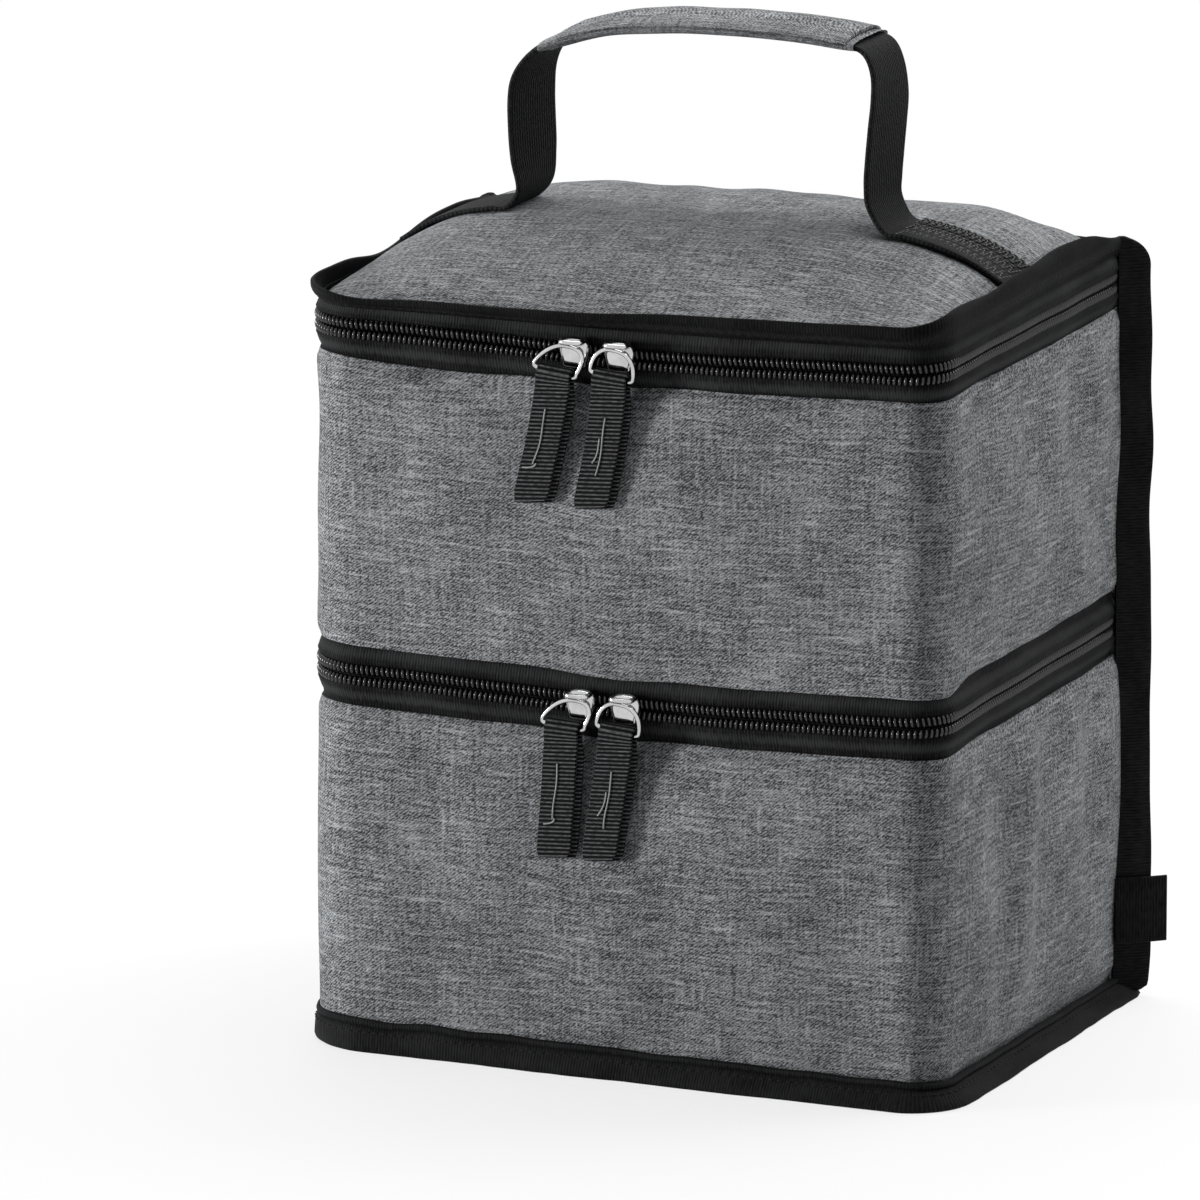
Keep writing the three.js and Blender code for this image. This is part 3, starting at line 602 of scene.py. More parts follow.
def pale_floor():
    """White studio floor that keeps a soft shadow."""
    material, graph = blank_finish("pale_floor")
    matt = graph.node("ShaderNodeBsdfDiffuse", {}, {"Color": grey(0.78)})
    white = graph.node("ShaderNodeEmission", {}, {"Color": grey(1.0), "Strength": 1.0})
    place = graph.node("ShaderNodeTexCoord", {}, {}, "Object")
    away = graph.node("ShaderNodeVectorMath", {"operation": "LENGTH"}, {0: place}, "Value")
    least, start, growth = FLOOR_WHITE
    share = graph.math("MINIMUM", least + graph.math("MAXIMUM", away - start, 0.0) * growth, 1.0)
    floor = graph.node("ShaderNodeMixShader", {}, {0: seen_rays(graph) * share, 1: matt, 2: white})
    graph.node("ShaderNodeOutputMaterial", {}, {"Surface": floor})
    return material


CLOTH_FINISH = new_finish("heather_cloth", heather_cloth)
TAPE_FINISH = new_finish("black_tape", woven_tape, grey(0.003), grey(0.026, 1.05))
ZIP_TAPE_FINISH = new_finish("zip_tape", woven_tape, grey(0.003), grey(0.034, 1.05), ZIP_BAND_AND_SHADE)
RIM_FINISH = new_finish("rim_tape", woven_tape, grey(0.002), grey(0.02, 1.05), RIM_BAND_AND_SHADE)
WEBBING_FINISH = new_finish("black_webbing", black_webbing)
TAB_FINISH = new_finish("ribbed_webbing_painted_light", ribbed_webbing_painted_light)
TEETH_FINISH = new_finish("gloss_nylon", gloss_nylon)
METAL_FINISH = new_finish("bright_metal", bright_metal)
FOIL_FINISH = new_finish("silver_foil", silver_foil)
DARK_THREAD = new_finish("dark_thread", thread, 0.004, 0.014)
FOOT_THREAD = new_finish("foot_thread", thread, 0.045, 0.16)
PALE_THREAD = new_finish("pale_thread", thread, 0.2, 0.36)
PRINT_INK = new_finish("print_ink", thread, 0.01, 0.022)


# Lines and unevenness
def joined(*parts):
    """Points from their coordinates."""
    return np.stack(np.broadcast_arrays(*parts), axis=-1)


def unit(vectors):
    return vectors / np.linalg.norm(vectors, axis=-1, keepdims=True)


def run_along(line):
    """Distance along a line, at each of its points."""
    return np.append(0, np.cumsum(np.linalg.norm(np.diff(line, axis=0), axis=1)))


def hump(place, middle, reach):
    return np.exp(-(((place - middle) / reach) ** 2))


def ease(share):
    """A share from 0 to 1 with a soft start and end."""
    return share * share * (3 - 2 * share)


def rounded(value, power):
    return np.sign(value) * np.abs(value) ** power


class PlanLine:
    """A line round the bag seen from above, of straight runs and left turns, with its outside on the right."""

    def __init__(self, start, heading, parts):
        knots = np.cumsum([0.0] + [length for length, turn in parts])
        turns = heading + np.cumsum([0.0] + [turn for length, turn in parts])
        self.length = knots[-1]
        self.s = np.linspace(0, self.length, PLAN_STEPS)
        self.angle = np.interp(self.s, knots, turns)
        middle = (self.angle[1:] + self.angle[:-1]) / 2
        self.x = start[0] + np.append(0, np.cumsum(np.cos(middle))) * self.s[1]
        self.y = start[1] + np.append(0, np.cumsum(np.sin(middle))) * self.s[1]

    def outward(self, s):
        angle = np.interp(s, self.s, self.angle)
        return np.sin(angle), -np.cos(angle)

    def at(self, s, out=0.0):
        away_x, away_y = self.outward(s)
        return np.interp(s, self.s, self.x) + out * away_x, np.interp(s, self.s, self.y) + out * away_y


RUN = BACK + FRONT - CORNERS[0]
ARC = CORNERS[0] * QUARTER
AHEAD = 2 * SIDE - sum(CORNERS)


def front_parts(reach):
    """Runs and turns of a line down the left side, over the front and up the right side."""
    left, right = CORNERS
    return [(reach - left, 0), (ARC, QUARTER), (AHEAD, 0), (right * QUARTER, QUARTER), (reach - right, 0)]


WALL = PlanLine((-SIDE, BACK), -QUARTER, front_parts(BACK + FRONT))
WALL_SKIP = BACK - WALL_END


def from_end(s):
    """Distance from the nearer end of the wall's line."""
    return np.minimum(s, WALL.length - s)


def bound_loop(back):
    """The closed line that a binding follows, with small round corners at a back plane."""
    turn = (BACK_CORNER * QUARTER, QUARTER)
    parts = front_parts(back - BACK_CORNER + FRONT) + [turn, (2 * (SIDE - BACK_CORNER), 0), turn]
    return PlanLine((-SIDE, back - BACK_CORNER), -QUARTER, parts)


def waves(seed, length, a, b=0.0):
    """Smooth unevenness of about one size and unit strength, over one or two coordinates."""
    rng = np.random.default_rng(seed)
    total = np.zeros(np.broadcast(a, b).shape)
    for _ in range(WAVES):
        angle, phase = rng.uniform(0, TURN, 2)
        rate = TURN / (length * rng.uniform(*WAVE_SPREAD))
        total += np.sin(rate * (a * math.cos(angle) + b * math.sin(angle)) + phase)
    return total / math.sqrt(WAVES / 2)


def uneven(name, a, b=0.0):
    seed, length, height = UNEVEN[name]
    return height * waves(seed, length, a, b)


def settle(points):
    """Drops and tilts the soft bag level by level, and lets its front droop."""
    x, y, z = np.moveaxis(np.asarray(points, float), -1, 0)
    heights, *leans = zip(*SETTLED)
    rise, across, back = (np.interp(z, heights, lean) for lean in leans)
    ahead = np.clip((-y / FRONT - SAG_START) / (1 - SAG_START), 0, 1) ** 2
    sag = FRONT_SAG * ahead * np.interp(z, SAG_HEIGHTS, (0, 1, 1, 0)) * hump(x, SAG_MIDDLE, SAG_REACH)
    return joined(x, y, z + rise + across * x / SIDE + back * y / BACK - sag)


def smooth_line(points, count):
    """A curve through given points, at even steps of its length."""
    points = np.asarray(points, float)
    ends = [2 * points[0] - points[1], 2 * points[-1] - points[-2]]
    held = np.concatenate([ends[:1], points, ends[1:]])
    place = np.linspace(0, len(points) - 1, count * CURVE_FINE)
    i = np.minimum(place.astype(int), len(points) - 2)
    t = (place - i)[:, None]
    a, b, c, d = (held[i + k] for k in range(4))
    fine = b + 0.5 * t * (c - a + t * (2 * a - 5 * b + 4 * c - d + t * (3 * (b - c) + d - a)))
    run = run_along(fine)
    even = np.linspace(0, run[-1], count)
    return np.stack([np.interp(even, run, column) for column in fine.T], axis=1)


# Meshes
def add_object(name, data):
    made = bpy.data.objects.new(name, data)
    bpy.context.scene.collection.objects.link(made)
    return made


def make_piece(name, points, faces, finish, uv=None):
    mesh = bpy.data.meshes.new(name)
    mesh.from_pydata((np.asarray(points).reshape(-1, 3) * MM).tolist(), [], faces)
    shape = bmesh.new()
    shape.from_mesh(mesh)
    bmesh.ops.recalc_face_normals(shape, faces=shape.faces[:])
    shape.to_mesh(mesh)
    shape.free()
    if uv is not None:
        corners = np.zeros(len(mesh.loops), np.int32)
        mesh.loops.foreach_get("vertex_index", corners)
        layer = mesh.uv_layers.new(name=CLOTH_UV)
        layer.data.foreach_set("uv", (uv.reshape(-1, 2) * MM)[corners].astype(np.float32).ravel())
    mesh.shade_smooth()
    mesh.set_sharp_from_angle(angle=SHARP)
    mesh.materials.append(finish)
    return add_object(name, mesh)


def faced(outer, inner):
    """Rows round a shell, from its two facing halves."""
    return np.concatenate([outer, inner[:, ::-1]], axis=1)


def loft(rows, closed=False):
    """Faces through rows of points, where each row is an outline of two facing halves."""
    count, size = rows.shape[:2]
    faces = []
    for i in range(count if closed else count - 1):
        here, there = i * size, (i + 1) % count * size
        for j in range(size):
            k = (j + 1) % size
            faces.append((here + j, there + j, there + k, here + k))
    for end in () if closed else (0, (count - 1) * size):
        for j in range(size // 2 - 1):
            faces.append((end + j, end + j + 1, end + size - 2 - j, end + size - 1 - j))
    return faces


def shut_rings(rings):
    """Points and faces over closed rings, shut at both ends by a fan to the middle."""
    count, size = rings.shape[:2]
    points = np.concatenate([rings.reshape(-1, 3), rings[:1].mean(axis=1), rings[-1:].mean(axis=1)])
    faces = []
    for i in range(count - 1):
        for j in range(size):
            k = (j + 1) % size
            faces.append((i * size + j, i * size + k, (i + 1) * size + k, (i + 1) * size + j))
    for end, pole in ((0, count * size), ((count - 1) * size, count * size + 1)):
        faces += [(end + j, end + (j + 1) % size, pole) for j in range(size)]
    return points, faces


def strip_map(rows, along):
    """Cloth map of a loft: distance along its rows' line, and distance round each row."""
    steps = np.linalg.norm(np.diff(rows, axis=1), axis=2)
    round_row = np.concatenate([np.zeros((len(rows), 1)), np.cumsum(steps, axis=1)], axis=1)
    return joined(along[:, None], round_row)


def ribbon_outline(width, thickness, steps):
    """A flat strip's outline in two facing halves: places across it, and out from its middle."""
    angle = np.linspace(-QUARTER, QUARTER, steps)
    across = np.sin(angle) * width / 2
    out = thickness / 2 * np.minimum(1, np.cos(angle) * 4) ** 0.5
    return np.append(across, across[::-1]), np.append(out, -out[::-1])


def sweep(name, line, wide, outline, finish):
    """A strip along a line of points, with its width along given directions."""
    along = unit(np.gradient(line, axis=0))
    wide = unit(wide - along * (wide * along).sum(axis=1)[:, None])
    out = np.cross(along, wide)
    across, rise = outline
    rows = line[:, None] + wide[:, None] * across[:, None] + out[:, None] * rise[:, None]
    return make_piece(name, rows, loft(rows), finish, joined(run_along(line)[:, None], across))


def plan_loop(inset, back):
    """Points of the bag's plan at an inset from its walls, shut by a straight back."""
    skip = BACK - back
    x, y = WALL.at(np.linspace(skip, WALL.length - skip, LOOP_STEPS), -inset)
    across = np.linspace(x[-1], x[0], BACK_STEPS + 2)[1:-1]
    return np.append(x, across), np.append(y, np.full(BACK_STEPS, back))


def pad(name, inset, back, upper, lower, finish):
    """A closed pad over the bag's plan, between an upper and a lower surface."""
    x, y = plan_loop(inset, back)
    middle = (back - FRONT) / 2
    shares = np.append(1 - np.linspace(1, 0, PAD_RINGS[name] + 1)[:-1] ** PAD_CROWD, 1.0)[1:]
    made = []
    for surface, order in ((upper, shares), (lower, shares[::-1])):
        for share in order:
            across, deep = x * share, middle + (y - middle) * share
            made.append(joined(across, deep, surface(across, deep, share)))
    points, faces = shut_rings(np.array(made))
    return make_piece(name, settle(points), faces, finish, points[:, :2])


FOLDS = {
    "mid_fold": ("lower_compartment", "upper_compartment", MID_ZIP),
    "top_fold": ("upper_compartment", "lid", TOP_ZIP),
}


def dress(piece, body, slot, *nodes):
    """Hangs a piece on its body, or bakes a piece of a fold of the back in place unhung, and hides the nodes of the
    frame that it stands in for.
    """
    if body in FOLDS:
        under, over, height = FOLDS[body]
        start, end = ((0, BACK * MM, (height + step) * MM) for step in (-FOLD, FOLD))
        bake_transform(piece)
    else:
        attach(piece, body)
    if nodes:
        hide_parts(*nodes)


# Repeated beads and strands: teeth, stitches and net
def new_tree(name, kinds, result):
    """A Geometry Nodes tree with named inputs."""
    tree = bpy.data.node_groups.new(name, "GeometryNodeTree")
    for label, kind in kinds.items():
        tree.interface.new_socket(label, in_out="INPUT", socket_type=f"NodeSocket{kind}")
    tree.interface.new_socket(result, in_out="OUTPUT", socket_type="NodeSocketGeometry")
    graph = Socket(tree)
    given = graph.node("NodeGroupInput")
    return graph, {label: given.beside(label) for label in kinds}


def bead_row_tree():
    """Rounded beads at an even pitch along lines, turned to the lines' outward directions."""
    kinds = {"Line": "Geometry", "Pitch": "Float", "Bead Size": "Vector", "Slant": "Float", "Finish": "Material"}
    graph, given = new_tree("bead_row", kinds, "Beads")
    curve = graph.node("GeometryNodeMeshToCurve", {}, {"Mesh": given["Line"]})
    spaced = graph.node("GeometryNodeResampleCurve", {"mode": "LENGTH"}, {"Curve": curve, "Length": given["Pitch"]})
    outward = graph.node("GeometryNodeInputNamedAttribute", {"data_type": "FLOAT_VECTOR"}, {"Name": "outward"})
    tangent = graph.node("GeometryNodeInputTangent")
    turned = graph.node("FunctionNodeAlignRotationToVector", {"axis": "X"}, {"Vector": tangent})
    turned = graph.node(
        "FunctionNodeAlignRotationToVector",
        {"axis": "Z", "pivot_axis": "X"},
        {"Rotation": turned, "Vector": outward},
    )
    lean = graph.node("FunctionNodeAxisAngleToRotation", {}, {"Axis": (0, 0, 1), "Angle": given["Slant"]})
    turned = graph.node(
        "FunctionNodeRotateRotation",
        {"rotation_space": "LOCAL"},
        {"Rotation": turned, "Rotate By": lean},
    )
    bead = graph.node("GeometryNodeMeshUVSphere", {}, {"Segments": 7, "Rings": 5, "Radius": 1.0})
    placed = graph.node(
        "GeometryNodeInstanceOnPoints",
        {},
        {"Points": spaced, "Instance": bead, "Rotation": turned, "Scale": given["Bead Size"]},
    )
    whole = graph.node("GeometryNodeRealizeInstances", {}, {0: placed})
    smooth = graph.node("GeometryNodeSetShadeSmooth", {}, {0: whole})
    dressed = graph.node("GeometryNodeSetMaterial", {}, {"Geometry": smooth, "Material": given["Finish"]})
    graph.node("NodeGroupOutput", {}, {"Beads": dressed})
    return graph.tree


def net_tree():
    """A sagging net of round strands."""
    kinds = {"Base": "Geometry", "Width": "Float", "Depth": "Float", "Columns": "Int", "Rows": "Int"}
    kinds.update({"Strand": "Float", "Sag": "Float", "Finish": "Material"})
    graph, given = new_tree("net", kinds, "Net")
    sizes = {"Size X": given["Width"], "Size Y": given["Depth"]}
    counts = {"Vertices X": given["Columns"], "Vertices Y": given["Rows"]}
    grid = graph.node("GeometryNodeMeshGrid", {}, {**sizes, **counts})
    across = graph.node("ShaderNodeSeparateXYZ", {}, {0: graph.node("GeometryNodeInputPosition")})
    hang_across = graph.math("COSINE", across / given["Width"] * math.pi)
    hang_deep = graph.math("COSINE", across.beside(1) / given["Depth"] * math.pi)
    drop = graph.node("ShaderNodeCombineXYZ", {}, {2: hang_across * hang_deep * given["Sag"] * -1.0})
    sagged = graph.node("GeometryNodeSetPosition", {}, {"Geometry": grid, "Offset": drop})
    lines = graph.node("GeometryNodeMeshToCurve", {}, {"Mesh": sagged})
    ring_line = graph.node("GeometryNodeCurvePrimitiveCircle", {}, {"Resolution": 5, "Radius": given["Strand"]})
    ends = {"Curve": lines, "Profile Curve": ring_line, "Fill Caps": True}
    strands = graph.node("GeometryNodeCurveToMesh", {}, ends)
    whole = graph.node("GeometryNodeRealizeInstances", {}, {0: strands})
    dressed = graph.node("GeometryNodeSetMaterial", {}, {"Geometry": whole, "Material": given["Finish"]})
    graph.node("NodeGroupOutput", {}, {"Net": dressed})
    return graph.tree


def grow(name, tree, points, edges, inputs, outward=None):
    """Runs a tree on lines of points and keeps the result as a plain mesh."""
    mesh = bpy.data.meshes.new(name)
    mesh.from_pydata((np.asarray(points) * MM).tolist(), edges, [])
    if outward is not None:
        layer = mesh.attributes.new("outward", "FLOAT_VECTOR", "POINT")
        layer.data.foreach_set("vector", np.asarray(outward, np.float32).ravel())
    piece = add_object(name, mesh)
    grower = piece.modifiers.new(tree.name, "NODES")
    grower.node_group = tree
    for item in tree.interface.items_tree:
        if item.in_out == "INPUT" and item.name in inputs:
            grower[item.identifier] = inputs[item.name]
    plain = bpy.data.meshes.new_from_object(piece.evaluated_get(bpy.context.evaluated_depsgraph_get()))
    piece.modifiers.clear()
    piece.data = plain
    return piece


BEAD_ROW = bead_row_tree()
NET = net_tree()


def bead_rows(name, lines, outwards, pitch, size, finish, slant=0.0):
    """One mesh of beads along several lines."""
    points, edges = [], []
    for line in lines:
        start = len(points)
        points += list(line)
        edges += [(start + i, start + i + 1) for i in range(len(line) - 1)]
    inputs = {"Pitch": pitch * MM, "Bead Size": [half * MM for half in size], "Slant": slant, "Finish": finish}
    return grow(name, BEAD_ROW, points, edges, inputs, np.concatenate(outwards))


# Boxes
def wall_hems(name, s):
    """Heights of the lower and upper edge of a box's cloth."""
    bottom, top = WALLS[name]
    if name == "lower":
        return bottom, top
    lift, start, run = HEM_LIFT
    dip, place, reach = HEM_DIP
    lifted = np.clip((RUN + start - from_end(s)) / run, 0, 1)
    return bottom + lift * lifted, top - dip * hump(s, RUN + ARC + place, reach)


def wall_out(name, s, z):
    """How far the cloth of a box stands out from its flat face."""
    bottom, top = wall_hems(name, s)
    foot = BASE_TOP if name == "lower" else bottom
    rise = np.clip((z - foot) / (top - foot), 0, 1)
    front, front_share, front_power = FRONT_BELLY
    side, side_share, side_power = SIDE_BELLY
    ahead = np.clip(np.abs(s - WALL.length / 2) / (AHEAD / 2 + front_share * ARC), 0, 1)
    aside = np.sin(np.clip(from_end(s) / (RUN + side_share * ARC), 0, 1) * math.pi)
    belly = front * np.cos(ahead * QUARTER) ** front_power + side * aside**side_power
    creases = uneven(f"{name}_crease", s, z * CREASE_LEAN) * (CREASE_SHARES[0] + CREASE_SHARES[1] * aside)
    creases = creases + uneven(f"{name}_swell", s, z)
    body = np.sin(rise * math.pi) ** BELLY_RISE
    tuck = EDGE_TUCK[0] * hump(np.minimum(z - bottom, top - z), 0.0, EDGE_TUCK[1])
    if name == "lower":
        tuck = tuck + FOOT_TUCK[0] * np.clip((BASE_TOP - z) / FOOT_TUCK[1], 0, 1)
    return belly * body + creases * np.minimum(1, body * CREASE_FADE[0]) * CREASE_FADE[1] - tuck


def wall_cloth(name):
    """The cloth of a box's left, front and right sides, with its drifting threads."""
    columns, levels = WALL_GRID
    s = np.linspace(WALL_SKIP, WALL.length - WALL_SKIP, columns)[:, None]
    bottom, top = wall_hems(name, s)
    place = np.linspace(0, 1, levels)
    place = (1 - WALL_EVEN) * (1 - np.cos(place * math.pi)) / 2 + WALL_EVEN * place
    z = bottom + (top - bottom) * place + 0 * s
    out = wall_out(name, s, z)
    drift = uneven("hem_drift", s) * np.clip(z / DRIFT_START, 0, 1)
    rows = faced(*(joined(*WALL.at(s, out - depth), z + drift) for depth in (0, CLOTH)))
    flat = joined(s, z)
    piece = make_piece(f"{name}_wall_cloth", settle(rows), loft(rows), CLOTH_FINISH, faced(flat, flat))
    size = ((WALL.length - 2 * WALL_SKIP) * MM, (WALLS[name][1] - WALLS[name][0]) * MM)
    dress(piece, f"{name}_compartment", "grey_cloth", f"{name}_outer_wall")


def tub(name):
    """A foam-backed foil lining: closed, with a soft rolled edge and a dished floor."""
    bottom, floor, boards = LININGS[name]
    top = WALLS[name][1] - LINING_DROP
    outer, inner = LINING_WALL
    shoulder, start, end = LINING_RUN
    steps, floor_steps = LINING_STEPS
    profile = [(outer, bottom, 0.5), (outer, bottom, 1), (outer, (bottom + top) / 2, 1), (outer, top - shoulder, 1)]
    profile += [(inset, top + z, 1) for inset, z in LINING_LIP]
    profile += [(inner, z, 1) for z in np.linspace(top - start, floor + end, steps)]
    profile += [(inset, floor + z, 1) for inset, z in LINING_FOOT]
    profile += [(LINING_FOOT[-1][0], floor, share) for share in np.linspace(0.95, 0.05, floor_steps)]
    middle = (WALL_END - FRONT) / 2
    rings = []
    for inset, z, share in profile:
        x, y = plan_loop(inset, WALL_END - max(0.0, inset - LINING_BACK))
        if inset >= DENTED:
            if share < 1:
                dent = uneven("floor_dents", x * share, y * share)
                z = z + dent * FLOOR_DENT
            else:
                dent = uneven("wall_dents", np.arange(len(x)) * LOOP_STRIDES[0], z)
            pull = 1 - dent * share / np.hypot(x, y)
            x, y = x * pull, y * pull
        rings.append(joined(x * share, middle + (y - middle) * share, z))
    points, faces = shut_rings(np.array(rings))
    piece = make_piece(f"{name}_lining", settle(points), faces, FOIL_FINISH)
    dress(piece, f"{name}_compartment", "silver_foil", f"{name}_foam_wall", f"{name}_foil_lining", *boards)


def base_flare(x, y):
    """Extra reach of the base binding's foot."""
    tail = BASE_TAIL * np.clip((y + FRONT) / (BACK + FRONT), 0, 1) * np.clip(np.abs(x) / SIDE, 0, 1) ** 4
    return np.interp(x, (-SIDE, SIDE * FLARE_END), BASE_FLARE) + tail


def base_tilt(x, y):
    """Height of a point on the base binding, as a share of its height on a level one."""
    rise, across, back = BASE_TILT
    return 1 + (rise + across * x / SIDE + back * y / BACK) / BASE_TOP


def base():
    """The base panel and the binding round it."""
    panel = pad(
        "base_panel",
        BASE_PANEL,
        BACK - BASE_PANEL,
        lambda x, y, share: BASE_PANEL,
        lambda x, y, share: PANEL_EDGE * share**8,
        TAPE_FINISH,
    )
    dress(panel, "lower_compartment", "black_tape", "base_outer_panel")
    loop = bound_loop(BACK)
    s = np.linspace(0, loop.length, BINDING_STEPS, endpoint=False)
    out, z = np.array(BASE_SHAPE).T
    out, z = np.append(out, np.full(len(out), BASE_INNER)), np.append(z, z[::-1])
    start, run, least = BASE_LOOSE
    loose = (out > 0) * np.clip((start - z) / run, least, 1)
    sway = base_flare(*loop.at(s)) + uneven("base_sway", s) + uneven("base_ripple", s)
    x, y = loop.at(s[:, None], out + loose * sway[:, None])
    z = z + np.clip(z / BASE_TOP, 0, 1) * uneven("base_edge", s)[:, None]
    rows = joined(x, y, np.maximum(z * base_tilt(x, y), 0))
    binding = make_piece("base_edge_tape", settle(rows), loft(rows, True), TAPE_FINISH, strip_map(rows, s))
    dress(binding, "lower_compartment", "black_tape", "base_binding")
    s = np.linspace(0, loop.length, SEAM_STEPS)
    height, out, share = BASE_SEAM
    x, y = loop.at(s, out + share * base_flare(*loop.at(s)))
    line = settle(joined(x, y, height * base_tilt(x, y)))
    away = joined(*loop.outward(s), 0.0)
    seam = bead_rows("base_edge_stitches", [line], [away], STITCH_PITCH, BASE_STITCH, DARK_THREAD)
    dress(seam, "lower_compartment", "black_tape")


# Zips
def zip_half(name, body, line, hand, reach):
    """Half a zip below (-1) or above (1) its line: flat tape, and a row of teeth along its edge."""

    def sway(s):
        return ZIP_SWAY[0] * waves(41 + int(line), ZIP_SWAY[1], s)

    def tuck(s):
        return ZIP_TUCK[0] * hump(from_end(s), WALL_SKIP, ZIP_TUCK[1])

    s = np.linspace(WALL_SKIP, WALL.length - WALL_SKIP, TAPE_STEPS)
    out, z = np.array([*ZIP_SHAPE, *((out, reach + z) for out, z in ZIP_HEM)]).T
    out, z = np.append(out, out[::-1] - TAPE), np.append(z, z[::-1])
    rows = joined(*WALL.at(s[:, None], out + (sway(s) - tuck(s))[:, None]), line + hand * z)
    tape = make_piece(f"{name}_band", settle(rows), loft(rows), ZIP_TAPE_FINISH, strip_map(rows, s))
    dress(tape, body, "black_tape", f"{name}_tape")
    coil = f"{name}_coil"
    skip = BACK - node_box(coil)[1][1] + (hand > 0) * TOOTH_PITCH / 2
    s = np.linspace(skip, WALL.length - skip, TEETH_STEPS)
    sunk = TOOTH_SINK * ease(np.clip((RUN + ARC - from_end(s)) / ARC, 0, 1)) + TOOTH_TUCK * tuck(s)
    row = settle(joined(*WALL.at(s, TOOTH_OUT + sway(s) - sunk), line + hand * TOOTH_ROW))
    away = joined(*WALL.outward(s), 0.0)
    teeth = bead_rows(f"{name}_teeth", [row], [away], TOOTH_PITCH, TOOTH, TEETH_FINISH, hand * TOOTH_SLANT)
    dress(teeth, body, "black_tape", coil)


# Back
def back_cloth(name, fold, bottom, top, *nodes):
    """A padded half of the back, creased along its fold."""
    levels, columns = BACK_GRID
    z = np.linspace(bottom, top, levels)[:, None]
    across = np.linspace(-1, 1, columns)
    flat = 1 - across**8
    foot, head, run = BACK_ENDS
    soft = flat * np.clip(np.minimum(z - foot, LID_EDGE - head - z) / run, 0.0, 1) ** 0.5
    crease = FOLD_CREASE[0] * sum(hump(z, height, FOLD_CREASE[1]) for height in (MID_ZIP, TOP_ZIP))
    depth, start, run = BACK_TUCK
    tuck = depth * np.clip((BASE_TOP + start - z) / run, 0, 1)
    out = (BACK_PUFF + uneven("back_swell", across * SIDE, z)) * soft - crease * flat
    out = out * np.clip((z - BACK_FLAT[0]) / BACK_FLAT[1], 0, 1) - tuck
    x = across * (SIDE - BACK_MARGIN)
    outer, inner = (BACK - face for face in BACK_FACES)
    rows = faced(joined(x, outer + out, z), joined(x, inner + CREASE_INSIDE * crease, z))
    piece = make_piece(name, settle(rows), loft(rows), CLOTH_FINISH, rows[:, :, [0, 2]])
    dress(piece, fold, "grey_cloth", *nodes)


def back_fin(name, hand, fold, bottom, top, *nodes):
    """The upright binding on a back corner, which stands out as a soft fin."""
    levels, columns = FIN_GRID
    z = np.linspace(bottom, top, levels)
    root, tip = np.array(FIN_ROOT), np.array(FIN_TIP)
    width = np.linalg.norm(tip - root)
    along = (tip - root) / width
    near = np.minimum((z - FIN_FOOT) / FIN_ROUNDINGS[0], (FIN_TOP - z) / FIN_ROUNDINGS[1]).clip(0.02, 1)
    reach = np.sqrt(1 - (1 - near) ** 2) + uneven("fin_reach", z) * near
    reach = reach * np.interp(z, (0, FIN_TOP), FIN_TAPER)
    place = np.sin(np.linspace(0, QUARTER, columns))
    half = FIN_THICKNESS / 2 * np.sqrt(1 - place**4 * 0.96)
    bend = uneven("fin_bend", z)[:, None] * place
    ahead = place * width * reach[:, None]
    layers = []
    for aside in (bend + half, bend - half):
        x = root[0] + along[0] * ahead + along[1] * aside
        y = root[1] + along[1] * ahead - along[0] * aside
        layers.append(joined(hand * x, y, z[:, None]))
    rows = faced(*layers)
    piece = make_piece(name, settle(rows), loft(rows), TAPE_FINISH, strip_map(rows, z))
    dress(piece, fold, "black_tape", *nodes)


def back():
    upper_nodes = ("back_panel_upper", "back_foam_upper", "back_panel_top")
    back_cloth("back_cloth_lower", "mid_fold", BACK_FOOT, SPLIT, "back_panel_lower", "back_foam_lower")
    back_cloth("back_cloth_upper", "top_fold", SPLIT, BACK_TOP, *upper_nodes)
    for side, hand in (("left", -1), ("right", 1)):
        node = f"back_binding_{side}"
        back_fin(f"back_fin_{side}_lower", hand, "mid_fold", FIN_FOOT, SPLIT, f"{node}_lower")
        back_fin(f"back_fin_{side}_upper", hand, "top_fold", SPLIT, FIN_TOP, f"{node}_upper", f"{node}_top")


# Lid
def dome(x, y):
    """Height of the lid's cloth."""
    across = 1 - np.abs(x / (SIDE - DOME_INSET)) ** np.where(x < 0, DOME_LEFT, np.interp(y, *DOME_RIGHT))
    deep = 1 - np.abs(y / (FRONT - DOME_INSET)) ** np.where(y < 0, DOME_AHEAD, DOME_BEHIND)
    return DOME_EDGE + DOME_RISE * np.clip(across, 0, 1) * np.clip(deep, 0, 1)


def lid_cloth():
    """The domed cloth of the lid, turned down all round into its seam."""
    turn, sharpness = LID_TURN
    inset, back_inset = LID_INSETS

    def lower(x, y, share):
        return dome(x, y) - LID_CLOTH - turn * share**sharpness

    def upper(x, y, share):
        crease = uneven("lid_swell", x, y) + uneven("lid_crease", x, y)
        return lower(x, y, share) + LID_CLOTH + crease * (1 - share**6)

    piece = pad("lid_cloth", inset, BACK - back_inset, upper, lower, CLOTH_FINISH)
    dress(piece, "lid", "grey_cloth", "lid_top_panel")


def lid_padding():
    """The lid's foam with its foil lining, vaulted under the dome."""
    edge, rise, full = UNDER_LID
    inset, back_inset = PADDING_INSETS

    def over(x, y, share):
        return dome(x, y) - PADDING_DROP

    def under(x, y, share):
        dents = uneven("lid_dents", x, y) + uneven("lid_dimples", x, y)
        vault = (1 - np.abs(x / SIDE) ** full) * (1 - np.abs(y / BACK) ** full)
        return edge + rise * vault + dents * (1 - share**8)

    piece = pad("lid_padding", inset, BACK - back_inset, over, under, FOIL_FINISH)
    dress(piece, "lid", "silver_foil", "lid_foam", "lid_foil_lining")


